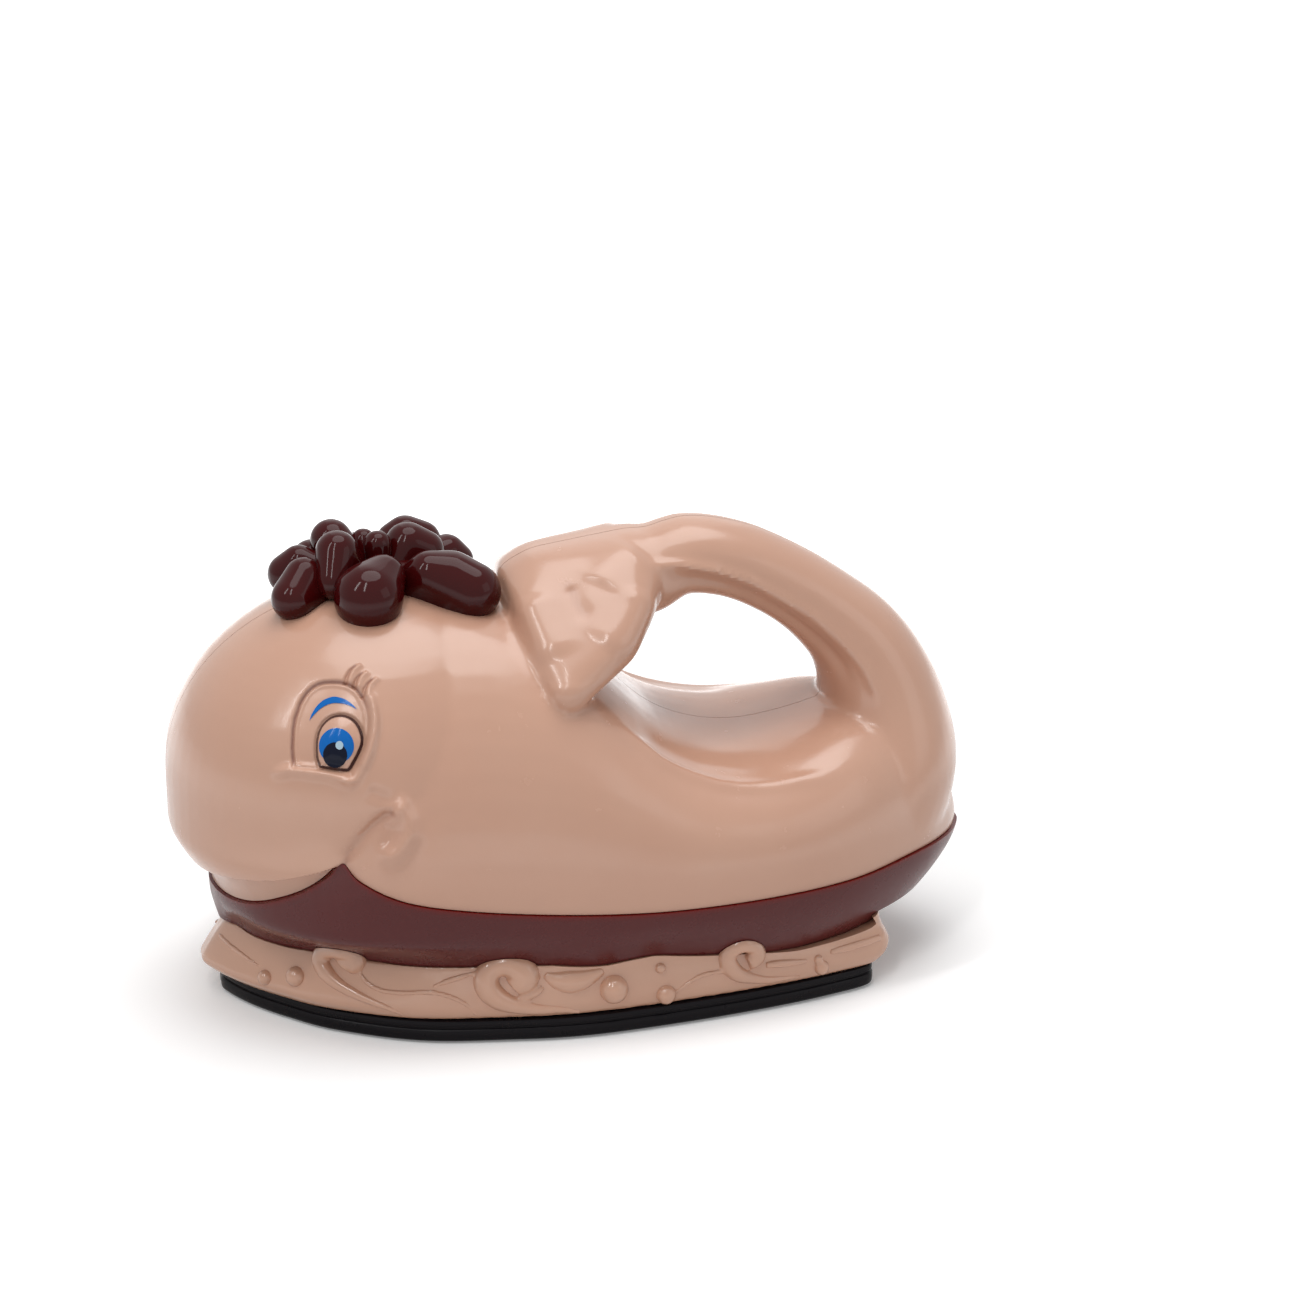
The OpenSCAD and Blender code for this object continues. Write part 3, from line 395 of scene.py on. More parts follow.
# blobs of one fluke: place along the body, reach, height and radius; the last one lies inside the back
flukeBlobs = [
    [0.074, 0.075, 0.899, 1.72],
    [0.003, 0.203, 0.899, 1.15],
    [-0.0435, 0.125, 0.907, 0.88],
    [-0.068, 0.094, 0.881, 0.95],
    [0.059, 0.49, 0.855, 1.16],
    [-0.062, 0.422, 0.855, 0.9],
    [0.031, 0.7, 0.794, 1.12],
    [-0.05, 0.675, 0.788, 0.92],
    [-0.034, 0.92, 0.72, 0.97],
    [-0.016, 0.312, 0.755, 1.05],
]
flukeTop = [0, 1, 2, 3]
flukeHulls = [[0, 1, 4, 9], [1, 2, 3, 4, 5, 9], [4, 5, 6, 7, 9], [6, 7, 8]]

# side view of the line where the shells meet the band
partingRows = [
    [-0.52, 0.25], [-0.46, 0.254], [-0.418, 0.28], [-0.365, 0.338], [-0.33, 0.392],
    [-0.314, 0.424], [-0.296, 0.388], [-0.243, 0.344], [-0.167, 0.316], [-0.063, 0.292],
    [0.046, 0.278], [0.172, 0.274], [0.309, 0.274], [0.424, 0.28], [0.52, 0.252],
]


def squared(value, square):
    return math.copysign(abs(value) ** (1 / square), value)


def torsoForm(inset):
    rings = []
    for x, half, top, middle, low, square in smoothRows(torsoRows, 3):
        middle = middle * whale["height"]
        half = max(half * whale["width"] / 2 - inset, 0.3)
        top = max(top * whale["height"] - inset, middle + 0.4)
        low = min(low * whale["height"] + inset, middle - 0.4)
        ring = []
        for c, s in circle(whale["sides"], 0.5):
            side = squared(c, square) if s > 0 else c
            rise = (top - middle) * squared(s, square) if s > 0 else (middle - low) * s
            ring.append((x * (whale["length"] - 2 * inset), half * side, middle + rise))
        rings.append(ring)
    return skin(rings)


def headForm(inset):
    halfLong, halfWide = whale["headHalf"]
    top, low = whale["headTop"], whale["faceLow"]
    level = low + 0.4 * (top - low)
    cheek = low + 0.24 * (top - low)
    return wrapped(*[
        ball((whale["headX"], 0, z), (halfLong - inset, halfWide - inset, high - inset), 32)
        for z, high in ((level, top - level), (cheek, cheek - low))])


def stemForm(inset):
    rows = smoothRows(stemRows, 6)
    rings = []
    for k, (x, z, thick, wide) in enumerate(rows):
        before, after = rows[max(k - 1, 0)], rows[min(k + 1, len(rows) - 1)]
        run = (after[0] - before[0]) * whale["length"]
        rise = (after[1] - before[1]) * whale["height"]
        span = math.hypot(run, rise)
        halfT = thick * whale["stemThick"] / 2 - inset
        halfW = wide * whale["stemWidth"] / 2 - inset
        rings.append([(
            x * whale["length"] - rise / span * halfT * s, halfW * c,
            z * whale["height"] + run / span * halfT * s) for c, s in circle(36)])
    return skin(rings)


def flukeBall(k, side, inset):
    x, reach, high, radius = flukeBlobs[k]
    r = radius * whale["flukeThick"] / 2 - inset
    place = (x * whale["length"], side * reach * whale["flukeReach"], high * whale["height"])
    return ball(place, (r, r, r), 12)


def flukeForms(inset):
    forms = [wrapped(*[flukeBall(k, side, inset) for k in flukeTop for side in (-1, 1)])]
    for side in (-1, 1):
        forms += [wrapped(*[flukeBall(k, side, inset) for k in group]) for group in flukeHulls]
    return forms


def whaleForm(inset):
    return [torsoForm(inset), headForm(inset), stemForm(inset), *flukeForms(inset)]


def sideBlock(line, lift, above):
    # everything above or below a line in the side view
    far = 200 if above else -100
    points = [(x, z + lift) for x, z in line]
    rings = []
    for y in (-80, 80):
        rings.append([(x, y, z) for x, z in points] + [(points[-1][0], y, far), (points[0][0], y, far)])
    return skin(rings)


partingLine = [(row[0] * whale["length"], row[1] * whale["height"]) for row in smoothRows(partingRows, 8)]


# lines on the near side in millimetres, mirrored to the far side: how wide each is, and how deep
# (below zero stands proud)
creases = {
    "cheekCrease": {"wide": 1.2, "deep": 1.1, "line": [
        (-57.3, -40.6, 45.3), (-55.9, -40.9, 47.9), (-53.3, -41.4, 51.4), (-50.8, -41.7, 54.0),
        (-48.2, -41.8, 55.9), (-45.3, -41.7, 57.4)]},
    "cheekBump": {"blunt": True, "wide": 2.1, "deep": -2.0, "line": [
        (-45.3, -41.8, 57.5), (-43.7, -42.1, 54.7), (-43.7, -42.9, 51.8), (-45.1, -43.1, 49.2),
        (-47.3, -43.2, 47.3)]},
    "cheekHollow": {"wide": 1.7, "deep": 0.6, "line": [
        (-47.6, -41.9, 54.5), (-48.0, -42.3, 51.4), (-49.1, -42.8, 48.9)]},
    "cheekFold": {"wide": 1.6, "deep": 0.5, "line": [
        (-52.3, -40.6, 61.8), (-49.9, -41.2, 60.6), (-47.4, -41.5, 59.1), (-45.3, -41.7, 57.7)]},
    "stemRidge": {"wide": 1.2, "deep": -1.0, "line": [
        (12.6, -12.0, 96.4), (16.6, -10.8, 97.4), (22.6, -11.1, 97.4), (30.2, -11.0, 95.7),
        (37.9, -10.9, 92.8), (45.5, -11.0, 88.3), (53.2, -11.7, 83.2), (59.2, -12.5, 77.5),
        (64.4, -14.0, 71.3), (67.2, -15.7, 65.3), (67.7, -17.2, 60.1)]},
    "stemHollow": {"wide": 2.0, "deep": 1.2, "line": [
        (16.9, -12.9, 94.3), (24.1, -11.0, 93.8), (32.0, -10.0, 91.6), (39.8, -9.3, 87.7),
        (47.7, -9.0, 82.3), (54.5, -9.7, 76.6), (59.7, -11.1, 70.8), (62.5, -12.7, 65.4)]},
    "flukeDent": {"wide": 2.2, "deep": 0.7, "line": [
        (-3.4, -14.4, 95.4), (-2.3, -16.1, 94.1), (-2.0, -18.0, 92.4), (-1.3, -19.9, 90.7),
        (0.1, -22.1, 88.8)]},
    "flukeMound": {"wide": 5.4, "deep": -1.2, "line": [
        (14.0, -8.8, 101.9), (9.4, -11.4, 99.2), (6.0, -14.0, 96.5), (3.5, -16.4, 94.2)]},
    "flukeRib": {"wide": 4.4, "deep": -0.9, "line": [
        (-12.3, -14.8, 94.6), (-11.4, -19.1, 90.9), (-9.9, -23.7, 86.9), (-8.4, -28.0, 83.0)]},
    "flukeBulge": {"wide": 5.0, "deep": -0.9, "line": [
        (11.0, -16.6, 94.7), (9.7, -20.9, 90.7), (5.7, -24.9, 86.8), (2.1, -27.4, 84.2)]},
    "flukeEdge": {"wide": 0.8, "deep": 0.55, "line": [
        (-15.2, -11.8, 86.8), (-14.2, -18.7, 84.0), (-12.7, -22.6, 81.3), (-11.7, -26.5, 78.5),
        (-10.5, -29.5, 75.6), (-8.8, -31.0, 73.7), (-6.4, -31.2, 72.6), (-3.7, -29.7, 72.8),
        (-0.8, -25.1, 73.6)]},
    "saddleRim": {"wide": 2.0, "deep": -0.9, "line": [
        (4.2, -26.9, 68.8), (9.0, -29.2, 63.8), (13.8, -31.0, 59.4), (19.7, -31.5, 55.9),
        (27.0, -32.6, 53.6), (33.1, -32.6, 52.6), (40.8, -32.0, 52.4), (51.1, -30.7, 53.0),
        (58.0, -28.0, 55.0)]},
    "saddleHollow": {"wide": 4.0, "deep": 0.9, "line": [
        (10.0, -24.0, 66.0), (16.0, -25.0, 61.0), (24.0, -25.5, 57.5), (34.0, -25.5, 56.4),
        (44.0, -24.5, 57.0)]},
}

# the fold of the mouth: the round face hangs over the lower lip
mouth = {
    "over": 0.9, "brow": 5.0, "under": 2.6, "reach": 4.5,
    "line": [
        (-57.3, -40.6, 45.0), (-59.1, -40.1, 44.2), (-61.9, -39.2, 43.0), (-65.4, -37.7, 41.8),
        (-68.8, -35.8, 40.7), (-72.8, -32.7, 39.5), (-76.8, -28.8, 38.4), (-80.7, -23.6, 37.3),
        (-83.7, -16.8, 36.2), (-85.4, -8.5, 35.4), (-86.0, 0.0, 35.1)],
}

# the eye's own plane on the near side, with outlines in millimetres across and up from its middle
eye = {
    "place": (-57.86, -36.43, 70.68),
    "out": (-0.2426, -0.8603, 0.4484),
    "across": (0.9655, -0.2591, 0.0252),
    "up": (0.0945, 0.439, 0.8935),
    "reach": 19,
    "socketDeep": 0.85,
    "lean": 0.35,
    "ballHigh": 1.9,
    "ballEdge": 0.45,
    "lidHigh": 1.15,
    "ridgeHigh": 0.6,
    "lashDeep": 0.75,
    "lashHigh": 0.45,
    "groove": (0.75, 0.42),  # depth and width on the socket's left and top
    "rim": (0.75, 1.0),  # height and width on its right
    "gutter": (0.4, 0.35),
    "domeWide": 5.0,
    "outline": [
        (-3.56, -4.3), (-4.2, -2.66), (-4.39, -1.03), (-4.36, 0.88), (-4.1, 2.52), (-3.58, 3.89),
        (-2.84, 4.98), (-2.03, 5.75), (-1.0, 6.32), (0.42, 6.62), (1.5, 6.52), (2.5, 6.18), (3.4, 5.6),
        (4.14, 4.82), (4.85, 3.59), (5.28, 2.32), (5.4, 1.13), (5.2, 0.03), (4.77, -1.06), (4.18, -2.3),
        (3.5, -3.5), (2.5, -4.98), (1.1, -5.02), (0.01, -4.92), (-1.64, -4.65)],
    "socket": [
        (-9.38, -4.34), (-9.72, -2.3), (-9.87, -0.39), (-9.81, 1.52), (-9.74, 3.72), (-9.44, 5.92),
        (-8.94, 7.58), (-8.45, 9.25), (-7.68, 10.78), (-6.77, 12.09), (-5.71, 13.09), (-4.63, 13.7),
        (-3.26, 14.08), (-1.6, 14.17), (0.06, 14.08), (1.45, 13.79), (2.85, 13.22), (3.99, 12.37),
        (5.0, 11.1), (5.74, 9.7), (6.34, 8.03), (6.68, 5.81), (6.68, 3.6), (6.36, 1.41), (5.84, -0.78),
        (5.04, -2.68), (4.08, -4.58), (3.12, -6.19), (1.09, -5.71), (-1.1, -5.33), (-3.3, -5.04),
        (-5.51, -4.8), (-7.75, -4.58)],
    "browOuter": [
        (-6.08, 5.63), (-5.73, 6.82), (-5.16, 7.93), (-4.43, 8.98), (-3.57, 9.78), (-2.49, 10.41),
        (-1.13, 10.8), (0.12, 10.65), (1.37, 10.25), (2.49, 9.55), (3.33, 8.85), (4.04, 8.01)],
    "browInner": [
        (-6.08, 5.63), (-5.52, 6.4), (-4.85, 7.14), (-4.1, 7.91), (-3.24, 8.57), (-2.16, 9.09),
        (-1.06, 9.36), (0.04, 9.36), (1.14, 9.24), (2.24, 8.9), (3.21, 8.48), (4.04, 8.01)],
    "iris": (0.0, 0.0, 3.8, 3.79),
    "stroke": 0.25,
    "pupil": (-0.21, -2.0, 2.6, 2.66),
    "glint": (0.82, 0.03, 0.82, 0.92),
    "ridge": [
        (-50.8, -31.0, 80.7), (-49.7, -32.6, 79.1), (-49.2, -34.2, 77.0), (-49.2, -35.5, 75.2),
        (-49.6, -36.6, 73.3), (-50.3, -37.6, 71.1), (-51.3, -38.5, 68.9), (-52.4, -39.1, 66.9),
        (-53.2, -39.5, 65.7)],
    "lid": [
        (-72.4, -32.6, 63.7), (-70.3, -33.7, 64.4), (-67.9, -34.6, 65.3), (-65.5, -35.6, 65.5),
        (-63.5, -36.6, 65.3), (-61.4, -37.4, 65.2), (-59.3, -38.1, 64.9), (-57.2, -38.8, 64.4),
        (-55.7, -39.4, 63.6), (-54.2, -40.0, 62.6)],
    "lashes": [
        [(-54.7, -28.7, 82.3), (-54.2, -27.9, 83.1), (-53.4, -27.0, 84.1), (-52.2, -26.4, 84.8)],
        [(-52.9, -29.8, 81.6), (-52.4, -29.0, 82.5), (-51.8, -28.4, 83.1), (-51.0, -28.0, 83.6)],
        [(-51.3, -31.7, 79.9), (-50.8, -30.7, 81.0), (-50.1, -30.0, 81.8), (-49.0, -29.4, 82.6)]],
}

mouthLine = mouth["line"] + [(x, -y, z) for x, y, z in mouth["line"][-2::-1]]


def mirrored(line, side):
    # a line of the near side (-1), or the same on the far side (1)
    return np.array(line) * (1, -side, 1)


def eyeAxes(side):
    return [mirrored(eye[name], side) for name in ("place", "across", "up", "out")]


def ease(value, low, high):
    t = np.clip((value - low) / (high - low), 0, 1)
    return t * t * (3 - 2 * t)


def fade(along, start, full, fall, end):
    return ease(along, start, full) * (1 - ease(along, fall, end))


def bell(far, wide):
    return np.exp(-(far / wide) ** 2)


def insideDistance(flat, outline):
    # distance to an outline, above zero inside it
    path = np.array([outline[-1], *outline], float)
    inside = np.zeros(len(flat), bool)
    for a, b in zip(path, path[1:]):
        if a[1] != b[1]:
            crosses = (a[1] > flat[:, 1]) != (b[1] > flat[:, 1])
            inside ^= crosses & (flat[:, 0] < a[0] + (flat[:, 1] - a[1]) * (b[0] - a[0]) / (b[1] - a[1]))
    far = pathDistance(flat, path)[0]
    return np.where(inside, far, -far)


def nearEye(points, side):
    # the points round one eye, where they lie in its plane and how far inside the socket
    place, across, up, out = eyeAxes(side)
    picked = np.where(np.linalg.norm(points - place, axis=1) < eye["reach"])[0]
    local = points[picked] - place
    flat = np.stack([local @ across, local @ up], 1)
    return picked, flat, insideDistance(flat, eye["socket"])


def lowFace(points, front):
    # the low part of the face, ahead of a place along the body
    return (points[:, 0] < front) & (points[:, 2] < 60)


def carveLine(points, normals, side, line, wide, deep, blunt=False):
    path = mirrored(line, side)
    reach = np.linalg.norm(path - path.mean(0), axis=1).max() + 4 * wide
    picked = np.where(np.linalg.norm(points - path.mean(0), axis=1) < reach)[0]
    far, along = pathDistance(points[picked], path)
    ends = 1 if blunt else fade(along, -0.02, 0.22, 0.78, 1.02)
    points[picked] -= normals[picked] * (deep * ends * bell(far, wide))[:, None]


def carveMouth(points, normals):
    picked = np.where(lowFace(points, -52))[0]
    far, along = pathDistance(points[picked], mouthLine)
    last = len(mouthLine) - 1
    level = np.interp(along * last, np.arange(last + 1), [z for x, y, z in mouthLine])
    signed = np.where(points[picked, 2] < level, -far, far)
    over = mouth["over"] * bell(signed, mouth["brow"])
    under = -mouth["under"] * bell(signed, mouth["reach"])
    push = under + (over - under) * ease(signed, -0.7, 0.5)
    points[picked] += normals[picked] * (push * fade(along, 0.0, 0.1, 0.9, 1.0))[:, None]


def carveEye(points, normals, side):
    picked, flat, socket = nearEye(points, side)
    inBall = insideDistance(flat, eye["outline"])
    right = ease(flat[:, 0] - eye["lean"] * flat[:, 1], 0.5, 5.0)
    groove, grooveWide = eye["groove"]
    rim, rimWide = eye["rim"]
    gutter, gutterWide = eye["gutter"]
    push = -eye["socketDeep"] * ease(socket, -0.2, 1.5)
    push -= (groove - 0.45 * right) * bell(socket - 0.1, grooveWide)
    push += rim * right * bell(socket + 1.3, rimWide)
    # the eyeball is a dome with a gutter round it
    dome = 1 - (1 - np.clip(inBall / eye["domeWide"], 0, 1)) ** 2
    push += ease(inBall, -0.25, 0.25) * (eye["ballEdge"] + (eye["ballHigh"] - eye["ballEdge"]) * dome)
    push -= gutter * bell(inBall + 0.42, gutterWide)
    far, along = pathDistance(points[picked], mirrored(eye["lid"], side))
    push += eye["lidHigh"] * fade(along, 0.0, 0.2, 0.85, 1.0) * bell(far, 1.2)
    far, along = pathDistance(points[picked], mirrored(eye["ridge"], side))
    push += eye["ridgeHigh"] * fade(along, 0, 0.15, 0.85, 1.0) * bell(far, 1.0)
    for lash in eye["lashes"]:
        path = mirrored(lash, side)
        far, along = pathDistance(points[picked], path)
        taper = 1 - 0.75 * along
        push -= eye["lashDeep"] * taper * bell(far, 0.4 * taper + 0.08)
        far, along = pathDistance(points[picked], path + eyeAxes(side)[1])
        push += eye["lashHigh"] * bell(far, 0.6)
    points[picked] += normals[picked] * push[:, None]


def nearMouth(middles):
    chosen = lowFace(middles, -50)
    chosen[chosen] = pathDistance(middles[chosen], mouthLine)[0] < 3.2
    return chosen


# the skin over the joined forms, and the box round the flukes that is made smoother
bodySkin = {"voxel": 0.85, "rounds": 10, "low": (-24, -50, 79), "high": (24, 50, 120), "soften": 16}


def makeBody():
    mesh = remeshed(toMesh(*whaleForm(0)), bodySkin["voxel"], bodySkin["rounds"])
    mesh = softened(mesh, bodySkin["low"], bodySkin["high"], bodySkin["soften"])
    for side in (-1, 1):
        place = eyeAxes(side)[0]
        mesh = refined(mesh, lambda middles: np.linalg.norm(middles - place, axis=1) < eye["reach"] + 1, 3)
    mesh = refined(mesh, nearMouth, 2)
    for crease in creases.values():
        points, normals = getSurface(mesh)
        for side in (-1, 1):
            carveLine(points, normals, side, **crease)
        setPoints(mesh, points)
    points, normals = getSurface(mesh)
    carveMouth(points, normals)
    for side in (-1, 1):
        carveEye(points, normals, side)
    setPoints(mesh, points)
    return mesh


# grooves that get a painted red-brown shade, standing in for the shade that falls in them: how wide and how
# strong
paintedCreaseShades = {"cheekCrease": (0.8, 0.35), "flukeEdge": (0.7, 0.5), "flukeDent": (1.0, 0.2)}


def paintedShadeOf(points):
    # painted shade: 0 on clear plastic, up to 1 in the sharp grooves where shade falls
    paintedShadeAndGlow = np.zeros(len(points))

    def add(picked, path, wide, strong):
        far = pathDistance(points[picked], path)[0]
        paintedShadeAndGlow[picked] = np.maximum(paintedShadeAndGlow[picked], strong * bell(far, wide))

    # painted shade along the fold of the mouth
    add(np.where(lowFace(points, -50))[0], mouthLine, 0.55, 0.6)
    for side in (-1, 1):
        for name, (wide, strong) in paintedCreaseShades.items():
            path = mirrored(creases[name]["line"], side)
            reach = np.abs(path - path.mean(0)).max() + 5
            add(np.where(np.abs(points - path.mean(0)).max(1) < reach)[0], path, wide, strong)
        # painted shade in the groove on the left and top of the eye socket
        picked, flat, socket = nearEye(points, side)
        left = 1 - 0.85 * ease(flat[:, 0] - eye["lean"] * flat[:, 1], 0.5, 4.0)
        left *= ease(flat[:, 1], -4.5, -3.0)
        paintedShadeAndGlow[picked] = np.maximum(paintedShadeAndGlow[picked], 0.75 * left * bell(socket - 0.1, 0.34))
        # painted shade in the grooves of the lashes
        for lash in eye["lashes"]:
            add(picked, mirrored(lash, side), 0.34, 0.6)
    return paintedShadeAndGlow


bodyMesh = makeBody()
innerMesh = remeshed(toMesh(*whaleForm(whale["wall"])), 1.5, 4)
points, normals = getSurface(innerMesh)
carveMouth(points, normals)
setPoints(innerMesh, points)
print("whale form", len(bodyMesh.vertices), "points")


def addPiece(name, mesh, finish, *replaced, slot=None, body="iron", crease=35, paintedShadeAndGlow=None):
    # a finished mesh in millimetres becomes a piece in metres
    # painted shade and glow, stored on the mesh's points for the material
    if paintedShadeAndGlow:
        mark = mesh.attributes.new("paintedShadeAndGlow", "FLOAT", "POINT")
        mark.data.foreach_set("value", paintedShadeAndGlow(getPoints(mesh)).astype(np.float32))
    bm = opened(mesh)
    bmesh.ops.remove_doubles(bm, verts=bm.verts, dist=0.002)
    bmesh.ops.recalc_face_normals(bm, faces=bm.faces)
    bmesh.ops.scale(bm, vec=(mm, mm, mm), verts=bm.verts)
    for face in bm.faces:
        face.smooth = True
    made = stored(bm, bpy.data.meshes.new(name))
    made.set_sharp_from_angle(angle=math.radians(crease))
    obj = bpy.data.objects.new(name, made)
    scene.collection.objects.link(obj)
    obj.data.materials.append(finishes[finish])
    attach(obj, body)
    if replaced:
        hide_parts(*replaced)


def cadMesh(node):
    # a CAD node's mesh in millimetres, welded
    bm = opened(nodes[node].data)
    bmesh.ops.scale(bm, vec=(1 / mm, 1 / mm, 1 / mm), verts=bm.verts)
    bmesh.ops.remove_doubles(bm, verts=bm.verts, dist=0.0005)
    bmesh.ops.recalc_face_normals(bm, faces=bm.faces)
    return stored(bm, bpy.data.meshes.new(node + "Copy"))


# sockets that aren't plain numbers
kinds = {
    "Colour": "Color", "Cloud colour": "Color", "Dull colour": "Color", "Normal": "Vector",
    "Stretch": "Vector",
}


def makeGroup(name, *inputs):
    tree = bpy.data.node_groups.new(name, "ShaderNodeTree")
    sockets = [(label, "INPUT") for label in inputs]
    sockets += [(label, "OUTPUT") for label in ("Colour", "Roughness", "Normal")]
    for label, way in sockets:
        tree.interface.new_socket(label, in_out=way, socket_type="NodeSocket" + kinds.get(label, "Float"))
    return tree, tree.nodes.new("NodeGroupInput"), tree.nodes.new("NodeGroupOutput")


def makeMould():
    # moulded plastic: soft clouds of a second colour, uneven gloss and a faint orange peel
    tree, given, made = makeGroup(
        "mould", "Colour", "Cloud colour", "Cloud share", "Roughness", "Peel", "Grain size")
    place = addNode(tree, "TexCoord")
    cloud = addNode(tree, "TexNoise", Scale=38, Detail=3, Roughness=0.55)
    grain = addNode(tree, "TexNoise", Detail=2, Roughness=0.5)
    wear = addNode(tree, "TexNoise", Scale=160, Detail=4, Roughness=0.6)
    share = addNode(tree, "Math", operation="MULTIPLY")
    mix = addNode(tree, "Mix", data_type="RGBA")
    gloss = addNode(tree, "MapRange", From_Min=0.3, From_Max=0.7, To_Min=0.8, To_Max=1.25)
    rough = addNode(tree, "Math", operation="MULTIPLY")
    bump = addNode(tree, "Bump", Distance=0.0002)
    wire(
        tree, (place, "Object", cloud, "Vector"), (place, "Object", grain, "Vector"),
        (place, "Object", wear, "Vector"), (given, "Grain size", grain, "Scale"), (cloud, "Fac", share, 0),
        (given, "Cloud share", share, 1), (share, 0, mix, 0), (given, "Colour", mix, 6),
        (given, "Cloud colour", mix, 7), (wear, "Fac", gloss, "Value"), (gloss, "Result", rough, 0),
        (given, "Roughness", rough, 1), (grain, "Fac", bump, "Height"), (given, "Peel", bump, "Strength"),
        (mix, 2, made, "Colour"), (rough, 0, made, "Roughness"), (bump, 0, made, "Normal"))
    return tree


def makeBrush():
    # metal: fine scratches along one way and a few dull patches
    tree, given, made = makeGroup("brush", "Colour", "Dull colour", "Roughness", "Stretch")
    place = addNode(tree, "TexCoord")
    stretch = addNode(tree, "VectorMath", operation="MULTIPLY")
    scratch = addNode(tree, "TexNoise", Scale=1400, Detail=3, Roughness=0.6)
    patch = addNode(tree, "TexNoise", Scale=240, Detail=2, Roughness=0.5)
    mix = addNode(tree, "Mix", data_type="RGBA")
    gloss = addNode(tree, "MapRange", To_Min=0.6, To_Max=1.4)
    rough = addNode(tree, "Math", operation="MULTIPLY")
    bump = addNode(tree, "Bump", Strength=0.05, Distance=0.0001)
    wire(
        tree, (place, "Object", stretch, 0), (given, "Stretch", stretch, 1), (stretch, 0, scratch, "Vector"),
        (place, "Object", patch, "Vector"), (patch, "Fac", mix, 0), (given, "Colour", mix, 6),
        (given, "Dull colour", mix, 7), (scratch, "Fac", gloss, "Value"), (gloss, "Result", rough, 0),
        (given, "Roughness", rough, 1), (scratch, "Fac", bump, "Height"), (mix, 2, made, "Colour"),
        (rough, 0, made, "Roughness"), (bump, 0, made, "Normal"))
    return tree


groups = {"mould": makeMould(), "brush": makeBrush()}


def linear(colour):
    # screen values from 0 to 255 as linear light
    return (*(((v / 255 + 0.055) / 1.055) ** 2.4 if v > 10 else v / 255 / 12.92 for v in colour), 1)


def startMaterial(name, kind, **values):
    material = bpy.data.materials.new(name)
    material.use_nodes = True
    tree = material.node_tree
    shader = tree.nodes["Principled BSDF"]
    group = addNode(tree, "Group", node_tree=groups[kind])
    setValues(group, **values)
    wire(tree, (group, "Colour", shader, "Base Color"), (group, "Roughness", shader, "Roughness"),
         (group, "Normal", shader, "Normal"))
    return material, tree, shader, group


def plastic(
        name, colour, cloud, share=0.6, rough=0.2, peel=0.03, grain=900, coat=0.0, shine=0.5, groove=None):
    material, tree, shader, group = startMaterial(
        name, "mould", Colour=linear(colour), Cloud_colour=linear(cloud), Cloud_share=share, Roughness=rough,
        Peel=peel, Grain_size=grain)
    setValues(shader, Coat_Weight=coat, Coat_Roughness=0.04, Specular_IOR_Level=shine)
    if groove:
        # painted shade: grooves marked on the mesh turn darker; on the band the marked top edge turns a
        # painted red glow
        mark = addNode(tree, "Attribute", attribute_name="paintedShadeAndGlow")
        mix = addNode(tree, "Mix", data_type="RGBA")
        mix.inputs[7].default_value = linear(groove)
        wire(tree, (mark, "Fac", mix, 0), (group, "Colour", mix, 6), (mix, 2, shader, "Base Color"))
    return material


def metal(name, colour, dull, rough=0.3, stretch=(1, 1, 1)):
    material, tree, shader, group = startMaterial(
        name, "brush", Colour=linear(colour), Dull_colour=linear(dull), Roughness=rough, Stretch=stretch)
    setValues(shader, Metallic=1)
    return material


